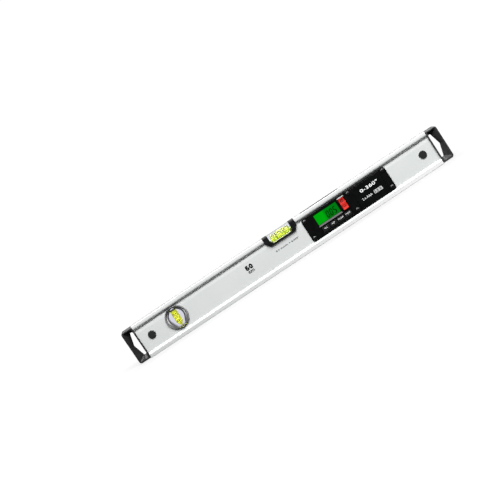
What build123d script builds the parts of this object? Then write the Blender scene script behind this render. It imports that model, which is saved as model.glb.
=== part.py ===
from build123d import *
import os

# Digital spirit level: an aluminium box section with two spirit vials and a digital module.
# X runs along the level, the front looks to -Y, +Z is up, and the bottom measuring face is Z = 0.
# A forward distance counts from the mid plane towards the front, so forward 9.5 lies at Y = -9.5.

# Whole level
level_length = 600.0
level_height = 60.0
level_depth = 24.0

# Aluminium extrusion
lip_face = 5.2  # flat front of each lip
lip_curve = 4.0  # height over which a lip curves back to the web
web_recess = 3.3  # depth of the web behind the lips
web_wall = 1.8
measuring_wall = 3.0
profile_edge_bevel = 0.5
cavity_round = 1.5
seat_gap = 0.15  # between the extrusion and what is let into it

# End caps
cap_length = 20.8
cap_inset = 0.9  # cap stands back from the measuring faces
cap_side_inset = 0.8  # and from the front and back of the lips
cap_corner = 4.5
cap_edge_round = 1.6
cap_rim = 2.6
cap_inner_rim = 2.6
cap_plate = 4.0  # plate in the middle of the cap that the hand window is cut in
window_height = 41.6
window_width = 10.2
window_end_width = 4.5
window_round_share = 0.48  # end rounds as a share of the end width
window_bar = 3.7  # bar between the window and the extrusion
rim_bow = 0.8  # outer side of the funnel bows out at mid height
tongue_length = 27.0
tongue_wall = 2.2

# Plugs that lock the cap tongues in the extrusion
lock_setback = 20.7
lock_rise = 0.6  # plugs above mid height
lock_head_diameter = 13.2
lock_head_height = 1.4
lock_head_round = 0.9
lock_shank_diameter = 8.2
lock_shank_spare = 0.8
lock_gap = 0.1

# Round plumb vial
plumb_setback = 68.8
plumb_rise = 1.5  # middle of the rings above mid height
plumb_ring_diameter = 39.0
plumb_ring_overlap = 1.2  # ring over the edge of its bore
plumb_ring_height = 2.1
plumb_ring_wall = 1.4
plumb_ring_bevel = 0.9
plumb_ring_round = 1.2
plumb_skirt = 1.8
plumb_tube_diameter = 12.0
plumb_tube_wall = 1.0
plumb_tube_inset = 1.4  # top of the tube to the edge of the bore
plumb_point = 7.2  # pointed foot of the liquid chamber
plumb_foot_wall = 1.4
plumb_tip_radius = 0.6
plumb_tip_inset = 0.7  # tip of the tube to the edge of the bore
plumb_seal_drop = 3.7  # top of the tube to the seal inside it
plumb_seal_length = 1.8
plumb_bubble_height = 6.0
plumb_line_spacing = 13.0
plumb_line_drop = 1.0  # middle of the two lines under the middle of the rings
sight_radius = 12.4  # round sides of the opening that the vial is seen in
sight_rise = 0.8
sight_crown_round = 4.0
sight_crown_rise = 12.3
sight_foot_round = 1.6
sight_foot_spread = 4.8
sight_foot_drop = 14.4
sight_bevel = 0.8

# Horizontal vial and its cradle in the top edge
holder_length = 59.4
holder_height = 18.1
holder_sink = 0.2  # top of the cradle under the measuring face
holder_cut_x = 6.5
holder_cut_z = 8.0
holder_round = 2.0
holder_edge = 1.2
holder_bar = 2.3  # floor under the clear block
holder_lip = 0.8  # rim that keeps the block from sliding out
block_length = 42.4
block_depth = 18.0
block_cut_x = 4.2
block_cut_z = 4.0
block_sink = 0.4
block_gap = 0.1
vial_drop = 8.8  # top face to the axis of the vial
vial_length = 35.0
vial_mid_radius = 6.2
vial_end_radius = 5.7
vial_end_round = 3.0
vial_line_spacing = 13.7
vial_line_width = 0.7
vial_line_depth = 0.4
vial_bubble_length = 12.4
vial_bubble_height = 3.6
vial_seal_diameter = 4.0
liquid_gap = 0.05  # film between a liquid and what touches it

# Front plate of the digital module
bezel_start = 7.8  # cradle to the left end of the plate
bezel_gap = 0.2
bezel_thickness = 1.6
bezel_corner = 4.6
bezel_edge_round = 0.5
bay_margin = 2.3  # web left standing above and below the cut-outs
bay_gap = 0.3
bay_round = 2.0

# Six screws through the plate into threaded bushes in the web
screw_diameter = 3.0
screw_length = 5.0
screw_head_diameter = 6.6
screw_head_height = 1.6
screw_head_round = 0.9
screw_socket = 2.0
screw_socket_depth = 0.9
screw_seat_depth = 0.7
screw_seat_gap = 0.3
screw_hole_gap = 0.15
screw_inset_x = 5.2
screw_inset_z = 5.3
bush_diameter = 4.2
bush_collar_diameter = 6.2
bush_collar_height = 1.0
bush_length = 5.0
bush_gap = 0.05

# Front display
display_start = 21.3
display_width = 42.4
display_step = 5.4  # key row to the display opening
display_bevel_left = 1.2
display_bevel_right = 1.6
display_bevel_top = 1.2
display_bevel_low = 2.5
display_corner = 0.8
lens_margin = 1.0
lens_thickness = 1.1
lcd_margin = 0.8
lcd_thickness = 1.8
lcd_ledge = 2.0  # lower glass reaches past the upper one
guide_thickness = 2.2

# Red rocker key, its collar and its pin
rocker_start = 4.4
rocker_width = 9.4
rocker_step = 4.0  # key row to the rocker
rocker_gap = 0.4
rocker_corner = 1.6
rocker_edge_round = 0.5
rocker_sink = 0.1  # face of the rocker under the crest of the collar
rocker_depth = 4.6
rocker_dish_radius = 14.0
rocker_dish_depth = 0.5
collar_height = 0.9
collar_crest = 0.4
collar_flank = 0.5
collar_flank_top = 2.4
pin_diameter = 1.5
pin_setback = 1.2  # axis of the pin behind the face of the web
pin_gap = 0.1
pin_fit = 0.02
ear_width = 1.5
ear_gap = 0.5
ear_half_height = 2.2
ear_depth = 2.6

# Row of four function keys
key_count = 4
key_start = 7.7
key_pitch = 13.9
key_width = 12.6
key_height = 7.6
key_gap = 0.25
key_corner = 1.4
key_edge_round = 0.5
key_stand = 0.6  # face of a key in front of the plate
key_flange = 0.8
key_flange_thickness = 0.8
key_flange_gap = 0.1
key_stem = 1.0
key_stem_inset = 2.4
key_row_depth = 0.5
key_row_border = 0.9
key_row_bevel = 0.5

# Electronics tub, board and what sits on it
tub_wall = 1.2
tub_floor = 1.5
tub_back_gap = 1.2
tub_key_gap = 0.4
tub_start = 10.5
tub_end = 5.2
board_gap = 0.5
board_thickness = 1.6
board_corner = 1.0
post_diameter = 5.0
post_inset = 4.0  # posts to the long edges of the board
post_pin_diameter = 2.0
post_pin_height = 1.2
post_pin_gap = 0.1
mat_thickness = 1.0
mat_border = 0.9
dome_diameter = 6.0
dome_top_diameter = 4.4
dome_height = 1.2
rocker_dome_reach = 6.2
sensor_size = 12.0
sensor_height = 3.2
sensor_lid_inset = 0.8
sensor_base = 1.0
sensor_offset = -14.0
buzzer_diameter = 12.0
buzzer_height = 5.0
buzzer_hole = 2.4
buzzer_hole_depth = 1.5
buzzer_offset = 12.0
connector_width = 4.4
connector_height = 16.0
connector_depth = 4.6
connector_gap = 0.5
connector_post_gap = 1.1

# Battery lid, tray, cells and contacts
lid_start = 5.6
lid_width = 55.2
lid_margin = 2.1
lid_gap = 0.25
lid_corner = 1.5
lid_edge_round = 0.3
lid_seat_gap = 0.15
lid_end = 5.1
tab_reach = 1.3
tab_width = 5.0
tab_root = 3.0
tab_thickness = 1.1
tab_offset = 5.85
tab_gap = 0.4
scallop_radius = 1.6
scallop_inset = 0.9
scallop_depth = 0.6
tray_border = 1.3
tray_rim = 1.5
tray_recess = 3.0
cell_diameter = 10.5
cell_length = 44.5
cell_nub_diameter = 3.8
cell_nub_length = 1.0
cell_round = 0.4
cell_pitch = 12.6
cell_gap = 0.2
contact_thickness = 0.4
contact_width = 7.0
contact_spring = 1.6
contact_bump_diameter = 4.0
contact_gap = 0.05
lead_diameter = 1.3
lead_gap = 0.15

# Display in the top face
top_frame_border = 14.3
top_slot_width = 12.0
top_frame_depth = 5.4
top_frame_sink = 0.15
top_window_width = 8.0
top_lens_width = 9.2
top_lens_border = 1.0
top_lens_thickness = 1.2
top_lens_sink = 0.7  # lens under the top of its frame
top_ledge = 0.6
top_lcd_thickness = 1.6
top_lcd_width = 9.4
top_part_gap = 0.05
top_tab_reach = 1.6
top_tab_thickness = 1.2
top_tab_gap = 0.1
ribbon_width = 12.0
ribbon_thickness = 0.3
ribbon_bend = 2.0
ribbon_tail = 3.5
ribbon_run = 5.6
ribbon_slot_gap = 0.3

# Places that follow from the sizes above
half_length = level_length / 2
half_depth = level_depth / 2
mid_height = level_height / 2
profile_half = half_length - cap_length
web_low = lip_face + lip_curve
web_high = level_height - web_low
web_face = half_depth - web_recess
cavity_face = web_face - web_wall
cavity_height = level_height - 2 * measuring_wall

lock_x = profile_half - lock_setback
lock_z = mid_height + lock_rise
lock_places = [(-lock_x, lock_z), (lock_x, lock_z)]
plumb_x = plumb_setback - profile_half
plumb_z = mid_height + plumb_rise
plumb_ring_radius = plumb_ring_diameter / 2
plumb_bore_radius = plumb_ring_radius - plumb_ring_overlap
plumb_puck_radius = plumb_bore_radius - seat_gap
plumb_plane = Plane(origin=(plumb_x, 0, plumb_z), x_dir=(1, 0, 0), z_dir=(0, -1, 0))
plumb_axis = Axis((plumb_x, 0, plumb_z), (0, 1, 0))
plumb_upright = Axis((plumb_x, 0, 0), (0, 0, 1))
plumb_puck_face = web_face - plumb_skirt

holder_low = level_height - holder_height
holder_top = level_height - holder_sink
block_low = holder_low + holder_bar
block_top = level_height - block_sink
vial_z = level_height - vial_drop
vial_axis = Axis((0, 0, vial_z), (1, 0, 0))

bezel_left = holder_length / 2 + bezel_start
bezel_low = web_low + bezel_gap
bezel_high = web_high - bezel_gap
bezel_front = web_face + bezel_thickness
bay_low = web_low + bay_margin
bay_high = web_high - bay_margin
tub_low = bay_low + bay_gap
tub_high = bay_high - bay_gap
tub_back = tub_back_gap - cavity_face

key_low = tub_low + tub_wall + tub_key_gap + key_flange
key_high = key_low + key_height
key_z = (key_low + key_high) / 2
display_left = bezel_left + display_start
display_right = display_left + display_width
display_x = (display_left + display_right) / 2
display_low = key_high + display_step
display_high = tub_high - tub_wall - lens_margin - liquid_gap
display_height = display_high - display_low
display_z = (display_low + display_high) / 2
key_xs = [display_left + key_start + index * key_pitch for index in range(key_count)]
rocker_left = display_right + rocker_start
rocker_right = rocker_left + rocker_width
rocker_x = (rocker_left + rocker_right) / 2
rocker_low = key_high + rocker_step
rocker_high = display_high
rocker_z = (rocker_low + rocker_high) / 2
rocker_height = rocker_high - rocker_low
rocker_front = bezel_front + collar_height - rocker_sink
pin_forward = web_face - pin_setback

tub_left = bezel_left + tub_start + bay_gap
tub_right = rocker_right + tub_end - bay_gap
tub_x = (tub_left + tub_right) / 2
tub_z = (tub_low + tub_high) / 2
screw_mid_x = tub_right + screw_inset_x - bay_gap
lid_left = screw_mid_x + lid_start
lid_right = lid_left + lid_width
lid_x = (lid_left + lid_right) / 2
lid_low = bezel_low + lid_margin
lid_high = bezel_high - lid_margin
lid_z = (lid_low + lid_high) / 2
lid_height = lid_high - lid_low
screw_right_x = lid_right + lid_end
bezel_right = screw_right_x + screw_inset_x
bezel_x = (bezel_left + bezel_right) / 2
bezel_length = bezel_right - bezel_left
tray_left = lid_left - tray_border
tray_width = lid_width + 2 * tray_border
screw_xs = [bezel_left + screw_inset_x, screw_mid_x, screw_right_x]
screw_zs = [bezel_low + screw_inset_z, bezel_high - screw_inset_z]
screw_places = [(x, z) for x in screw_xs for z in screw_zs]

lens_back = web_face - lens_thickness
lcd_back = lens_back - lcd_thickness
board_front = lcd_back - guide_thickness
board_back = board_front - board_thickness
board_width = tub_right - tub_left - 2 * (tub_wall + board_gap)
board_height = tub_high - tub_low - 2 * (tub_wall + board_gap)
post_spread_x = board_width - 2 * (connector_width + connector_post_gap) - post_diameter
post_spread_z = board_height - 2 * post_inset
mat_front = board_front + mat_thickness
lead_forward = board_back - connector_depth / 2
cell_zs = [mid_height - cell_pitch / 2, mid_height + cell_pitch / 2]
lead_places = [(-lead_forward, z) for z in cell_zs]

top_frame_length = display_width + 2 * top_frame_border
top_lens_length = display_width + 2 * top_lens_border
top_seat_length = top_lens_length + 2 * top_part_gap
top_frame_high = level_height - top_frame_sink
top_frame_low = top_frame_high - top_frame_depth
top_lens_low = top_frame_high - top_lens_sink - top_lens_thickness
top_lcd_high = top_lens_low - top_ledge - top_part_gap
top_lcd_low = top_lcd_high - top_lcd_thickness
ribbon_forward = board_back - ribbon_thickness / 2 - top_part_gap
ribbon_high = top_lcd_low - ribbon_thickness / 2 - top_part_gap


def boat_outline(half, low, cut_x, cut_z, high):
    """Corners of an upright block whose two lower corners are cut off."""
    return [
        (-half, high),
        (-half, low + cut_z),
        (cut_x - half, low),
        (half - cut_x, low),
        (half, low + cut_z),
        (half, high),
    ]


# Extrusion: recessed web, lips that curve back to it, one hollow, and every cut-out of the level
with BuildPart() as profile:
    with BuildSketch(Plane.YZ) as profile_section:
        with BuildLine():
            low_lip = Line((half_depth, 0), (half_depth, lip_face))
            low_curve = TangentArc(low_lip @ 1, (web_face, web_low), tangent=(0, 1))
            web_line = Line(low_curve @ 1, (web_face, web_high))
            high_lip = Line((half_depth, level_height), (half_depth, level_height - lip_face))
            TangentArc(high_lip @ 1, web_line @ 1, tangent=(0, -1))
            mirror(about=Plane.YZ)
            Line((-half_depth, 0), (half_depth, 0))
            Line((-half_depth, level_height), (half_depth, level_height))
        make_face()
        lip_corners = profile_section.vertices().group_by(Axis.Y)
        chamfer(lip_corners[0] + lip_corners[-1], profile_edge_bevel)
        with Locations((0, mid_height)):
            RectangleRounded(2 * cavity_face, cavity_height, cavity_round, mode=Mode.SUBTRACT)
    extrude(amount=profile_half, both=True)
    with BuildSketch(Plane.XZ):
        with BuildLine():
            notch_half = holder_length / 2 + seat_gap
            notch_low = holder_low - seat_gap
            notch_high = level_height + holder_height
            notch = boat_outline(notch_half, notch_low, holder_cut_x, holder_cut_z, notch_high)
            Polyline(*notch, close=True)
        make_face()
        with Locations((plumb_x, plumb_z)):
            Circle(plumb_bore_radius)
        with Locations(*lock_places):
            Circle(lock_shank_diameter / 2 + lock_gap)
    extrude(amount=level_depth, both=True, mode=Mode.SUBTRACT)
    for side in (1, -1):
        with BuildSketch(Plane.XZ.offset(side * web_face)) as ring_seat:
            with Locations((plumb_x, plumb_z)):
                Circle(plumb_ring_radius + seat_gap)
        extrude(ring_seat.sketch, amount=side * web_recess, mode=Mode.SUBTRACT)
    with BuildSketch(Plane.XZ):
        with Locations((tub_x, tub_z)):
            RectangleRounded(tub_right - tub_left + 2 * bay_gap, bay_high - bay_low, bay_round)
        with Locations((lid_x, tub_z)):
            RectangleRounded(tray_width + 2 * bay_gap, bay_high - bay_low, bay_round)
        with Locations(*screw_places):
            Circle(bush_diameter / 2 + bush_gap)
    extrude(amount=level_depth, mode=Mode.SUBTRACT)
    with BuildSketch(Plane.XY.offset(mid_height)):
        with Locations((display_x, 0)):
            Rectangle(top_frame_length + 2 * seat_gap, top_slot_width)
    extrude(amount=level_height, mode=Mode.SUBTRACT)

# End cap: a rounded block with a funnel on each side that narrows to a triangular hand window,
# and a hollow tongue that slides into the extrusion
cap_half_depth = half_depth - cap_side_inset
cap_low = cap_inset
cap_high = level_height - cap_inset
funnel_left = profile_half + cap_inner_rim
funnel_right = half_length - cap_rim
window_left = profile_half + window_bar
window_low = mid_height - window_height / 2
window_high = mid_height + window_height / 2
window_end_round = window_round_share * window_end_width
tongue_half_depth = cavity_face - seat_gap
tongue_height = cavity_height - 2 * seat_gap
with BuildPart() as right_end_cap:
    with BuildSketch(Plane.XZ) as cap_side:
        with Locations((half_length - cap_length / 2, mid_height)):
            Rectangle(cap_length, cap_high - cap_low)
        fillet(cap_side.vertices().group_by(Axis.X)[-1], cap_corner)
    extrude(amount=cap_half_depth, both=True)
    cap_faces = right_end_cap.faces().sort_by(Axis.Y)
    cap_front_edges = cap_faces[0].edges().sort_by(Axis.X)[1:]
    cap_back_edges = cap_faces[-1].edges().sort_by(Axis.X)[1:]
    fillet(cap_front_edges + cap_back_edges, cap_edge_round)
    for side in (1, -1):
        with BuildSketch(Plane.XZ.offset(side * cap_half_depth)) as funnel_rim:
            with BuildLine():
                FilletPolyline(
                    (funnel_left, cap_high - cap_rim),
                    (funnel_right, cap_high - cap_rim),
                    (funnel_right + rim_bow, mid_height),
                    (funnel_right, cap_low + cap_rim),
                    (funnel_left, cap_low + cap_rim),
                    radius=cap_rim,
                    close=True,
                )
            make_face()
        with BuildSketch(Plane.XZ.offset(side * cap_plate / 2)) as hand_window:
            with BuildLine():
                FilletPolyline(
                    (window_left, window_high),
                    (window_left + window_end_width, window_high),
                    (window_left + window_width, mid_height),
                    (window_left + window_end_width, window_low),
                    (window_left, window_low),
                    radius=window_end_round,
                    close=True,
                )
            make_face()
        loft(sections=[funnel_rim.sketch, hand_window.sketch], ruled=True, mode=Mode.SUBTRACT)
    extrude(hand_window.sketch, amount=cap_plate, both=True, mode=Mode.SUBTRACT)
    with BuildSketch(Plane.YZ.offset(profile_half)) as tongue_section:
        with Locations((0, mid_height)):
            RectangleRounded(2 * tongue_half_depth, tongue_height, cavity_round)
            Rectangle(
                2 * (tongue_half_depth - tongue_wall),
                tongue_height - 2 * tongue_wall,
                mode=Mode.SUBTRACT,
            )
    extrude(tongue_section.sketch, amount=-tongue_length)
    with BuildSketch(Plane.XZ) as tongue_hole:
        with Locations((lock_x, lock_z)):
            Circle(lock_shank_diameter / 2 + lock_gap)
    extrude(tongue_hole.sketch, amount=level_depth, both=True, mode=Mode.SUBTRACT)

with BuildPart() as left_end_cap:
    mirror(right_end_cap.part, about=Plane.YZ)

# Plugs pushed through the web into the cap tongues, two in front and two behind
with BuildPart() as lock_plugs:
    with BuildSketch(Plane.XZ.offset(web_face)):
        with Locations(*lock_places):
            Circle(lock_head_diameter / 2)
    extrude(amount=lock_head_height)
    fillet(lock_plugs.edges().group_by(Axis.Y)[0], lock_head_round)
    with BuildSketch(Plane.XZ.offset(web_face)):
        with Locations(*lock_places):
            Circle(lock_shank_diameter / 2)
    extrude(amount=-(web_wall + seat_gap + tongue_wall + lock_shank_spare))
    mirror(about=Plane.XZ)

# Rings of the plumb vial: a round shoulder on the web and a skirt in the bore
with BuildPart() as plumb_front_ring:
    with BuildSketch(Plane((plumb_x, 0, plumb_z))) as ring_section:
        ring_front = -web_face - plumb_ring_height
        ring_inner = plumb_puck_radius - plumb_ring_wall
        with BuildLine():
            Polyline(
                (ring_inner, -plumb_puck_face),
                (plumb_puck_radius, -plumb_puck_face),
                (plumb_puck_radius, -web_face),
                (plumb_ring_radius, -web_face),
                (plumb_ring_radius, ring_front),
                (ring_inner + plumb_ring_bevel, ring_front),
                (ring_inner, -web_face),
                close=True,
            )
        make_face()
        ring_shoulder = ring_section.vertices().group_by(Axis.Y)[0].sort_by(Axis.X)[-1]
        fillet(ring_shoulder, plumb_ring_round)
    revolve(axis=plumb_axis)

with BuildPart() as plumb_rear_ring:
    mirror(plumb_front_ring.part, about=Plane.XZ)

# Upright vial: a clear tube with a pointed foot and chamber, sealed by a dark plug near its top
plumb_chamber_radius = plumb_tube_diameter / 2 - plumb_tube_wall
plumb_tube_low = plumb_z - plumb_bore_radius + plumb_tip_inset
plumb_tube_high = plumb_z + plumb_bore_radius - plumb_tube_inset
plumb_tip_height = plumb_point * (plumb_tube_diameter / 2 - plumb_tip_radius) / plumb_chamber_radius
plumb_foot = plumb_tube_low + plumb_foot_wall
plumb_seal_low = plumb_tube_high - plumb_seal_drop - plumb_seal_length
plumb_section_plane = Plane(origin=(plumb_x, 0, 0), x_dir=(1, 0, 0), z_dir=(0, -1, 0))


def plumb_outside(gap):
    """Half section of the outside of the upright vial, grown by a gap."""
    radius = plumb_tube_diameter / 2 + gap
    with BuildSketch(plumb_section_plane) as outside:
        with BuildLine():
            Polyline(
                (0, plumb_tube_low - gap),
                (plumb_tip_radius + gap, plumb_tube_low - gap),
                (radius, plumb_tube_low + plumb_tip_height),
                (radius, plumb_tube_high + gap),
                (0, plumb_tube_high + gap),
                close=True,
            )
        make_face()
    return outside.sketch


def plumb_chamber(gap, high):
    """Half section of the chamber, drawn in by a gap, from its pointed foot to a height."""
    with BuildSketch(plumb_section_plane) as chamber:
        with BuildLine():
            Polyline(
                (0, plumb_foot + gap),
                (plumb_chamber_radius - gap, plumb_foot + plumb_point + gap),
                (plumb_chamber_radius - gap, high),
                (0, high),
                close=True,
            )
        make_face()
    return chamber.sketch


with BuildPart() as plumb_vial_tube:
    revolve(plumb_outside(0), axis=plumb_upright)
    revolve(plumb_chamber(0, plumb_tube_high), axis=plumb_upright, mode=Mode.SUBTRACT)

# Puck between the rings, with a bevelled sight opening and sockets for both ends of the vial
with BuildPart() as plumb_carrier:
    with BuildSketch(plumb_plane):
        Circle(plumb_puck_radius)
    extrude(amount=plumb_puck_face, both=True)
    with BuildSketch(plumb_plane):
        with Locations((0, sight_rise)):
            Circle(sight_radius)
        with Locations((0, sight_crown_rise)):
            Circle(sight_crown_round)
        with Locations((-sight_foot_spread, -sight_foot_drop), (sight_foot_spread, -sight_foot_drop)):
            Circle(sight_foot_round)
        make_hull()
    extrude(amount=plumb_puck_face, both=True, mode=Mode.SUBTRACT)
    puck_faces = plumb_carrier.faces().sort_by(Axis.Y)
    sight_rims = puck_faces[0].inner_wires() + puck_faces[-1].inner_wires()
    chamfer([edge for rim in sight_rims for edge in rim.edges()], sight_bevel)
    revolve(plumb_outside(liquid_gap), axis=plumb_upright, mode=Mode.SUBTRACT)

with BuildPart() as plumb_vial_plug:
    with BuildSketch(Plane((plumb_x, 0, plumb_seal_low))):
        Circle(plumb_chamber_radius - liquid_gap)
    extrude(amount=plumb_seal_length)

# Bubble, line rings and liquid of the upright vial
plumb_bubble_radius = plumb_chamber_radius - 4 * liquid_gap
plumb_bubble_high = plumb_seal_low - 2 * liquid_gap
plumb_bubble_low = plumb_bubble_high - plumb_bubble_height
with BuildPart() as plumb_vial_bubble:
    with BuildSketch(plumb_section_plane):
        with BuildLine():
            Polyline(
                (0, plumb_bubble_low),
                (0, plumb_bubble_high),
                (plumb_bubble_radius, plumb_bubble_high),
                (plumb_bubble_radius, plumb_bubble_low + plumb_bubble_radius),
            )
            CenterArc(
                (0, plumb_bubble_low + plumb_bubble_radius),
                plumb_bubble_radius,
                start_angle=-90,
                arc_size=90,
            )
        make_face()
    revolve(axis=plumb_upright)

with BuildPart() as plumb_vial_lines:
    for line_side in (-1, 1):
        line_mid = plumb_z - plumb_line_drop + line_side * plumb_line_spacing / 2
        with BuildSketch(Plane((plumb_x, 0, line_mid - vial_line_width / 2))):
            Circle(plumb_chamber_radius - 3 * liquid_gap)
            Circle(plumb_chamber_radius - 3 * liquid_gap - vial_line_depth, mode=Mode.SUBTRACT)
        extrude(amount=vial_line_width)

with BuildPart() as plumb_vial_fluid:
    revolve(plumb_chamber(liquid_gap, plumb_seal_low - liquid_gap), axis=plumb_upright)
    add(plumb_vial_bubble.part, mode=Mode.SUBTRACT)
    add(plumb_vial_lines.part, mode=Mode.SUBTRACT)

# Cradle of the horizontal vial: boat-shaped, open at the top, with lips that hold the clear block
with BuildPart() as vial_holder:
    with BuildSketch(Plane.XZ) as holder_side:
        with BuildLine():
            holder_half = holder_length / 2
            boat = boat_outline(holder_half, holder_low, holder_cut_x, holder_cut_z, holder_top)
            Polyline(*boat, close=True)
        make_face()
        fillet(holder_side.vertices().group_by(Axis.Y)[0], holder_round)
    extrude(amount=half_depth - seat_gap, both=True)
    holder_faces = vial_holder.faces().sort_by(Axis.Y)
    chamfer(holder_faces[0].edges() + holder_faces[-1].edges(), holder_edge)
    for half, low, deep in (
        (block_length / 2 + block_gap, block_low, block_depth / 2 + block_gap),
        (block_length / 2 - holder_lip, block_low + holder_lip, half_depth),
    ):
        with BuildSketch(Plane.XZ) as block_seat:
            with BuildLine():
                Polyline(*boat_outline(half, low, block_cut_x, block_cut_z, level_height), close=True)
            make_face()
        extrude(block_seat.sketch, amount=deep, both=True, mode=Mode.SUBTRACT)


def vial_chamber(gap):
    """Half section of the barrel-shaped chamber of the horizontal vial, drawn in by a gap."""
    half = vial_length / 2 - gap
    with BuildSketch(Plane.XZ) as chamber:
        with BuildLine():
            ThreePointArc(
                (-half, vial_z + vial_end_radius - gap),
                (0, vial_z + vial_mid_radius - gap),
                (half, vial_z + vial_end_radius - gap),
            )
            Polyline(
                (half, vial_z + vial_end_radius - gap),
                (half, vial_z),
                (-half, vial_z),
                (-half, vial_z + vial_end_radius - gap),
            )
        make_face()
        fillet(chamber.vertices().group_by(Axis.Y)[-1], vial_end_round)
    return chamber.sketch


# Clear block with a barrel-shaped chamber, filled from its right end and sealed there
block_half = block_length / 2
with BuildPart() as level_vial_block:
    with BuildSketch(Plane.XZ):
        with BuildLine():
            block_foot = block_low + block_gap
            block = boat_outline(block_half, block_foot, block_cut_x, block_cut_z, block_top)
            Polyline(*block, close=True)
        make_face()
    extrude(amount=block_depth / 2, both=True)
    revolve(vial_chamber(0), axis=vial_axis, mode=Mode.SUBTRACT)
    with BuildSketch(Plane.YZ.offset(vial_length / 2)) as seal_hole:
        with Locations((0, vial_z)):
            Circle(vial_seal_diameter / 2)
    extrude(seal_hole.sketch, amount=block_length, mode=Mode.SUBTRACT)

with BuildPart() as level_vial_plug:
    with BuildSketch(Plane.YZ.offset(vial_length / 2)):
        with Locations((0, vial_z)):
            Circle(vial_seal_diameter / 2 - liquid_gap)
    extrude(amount=block_half - vial_length / 2)

# Bubble between the two line rings, under the crown of the barrel, and the liquid around them
bubble_radius = vial_bubble_height / 2
bubble_z = vial_z + vial_mid_radius - bubble_radius - 4 * liquid_gap
bubble_end = vial_bubble_length / 2 - bubble_radius
with BuildPart() as level_vial_bubble:
    with BuildSketch(Plane.XZ):
        with BuildLine():
            CenterArc((bubble_end, bubble_z), bubble_radius, start_angle=0, arc_size=90)
            Line((bubble_end, bubble_z + bubble_radius), (-bubble_end, bubble_z + bubble_radius))
            CenterArc((-bubble_end, bubble_z), bubble_radius, start_angle=90, arc_size=90)
            Line((-bubble_end - bubble_radius, bubble_z), (bubble_end + bubble_radius, bubble_z))
        make_face()
    revolve(axis=Axis((0, 0, bubble_z), (1, 0, 0)))

with BuildPart() as level_vial_lines:
    for line_side in (-1, 1):
        with BuildSketch(Plane.YZ.offset(line_side * vial_line_spacing / 2 - vial_line_width / 2)):
            with Locations((0, vial_z)):
                Circle(vial_end_radius)
                Circle(vial_end_radius - vial_line_depth, mode=Mode.SUBTRACT)
        extrude(amount=vial_line_width)

with BuildPart() as level_vial_fluid:
    revolve(vial_chamber(liquid_gap), axis=vial_axis)
    add(level_vial_bubble.part, mode=Mode.SUBTRACT)
    add(level_vial_lines.part, mode=Mode.SUBTRACT)

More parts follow.
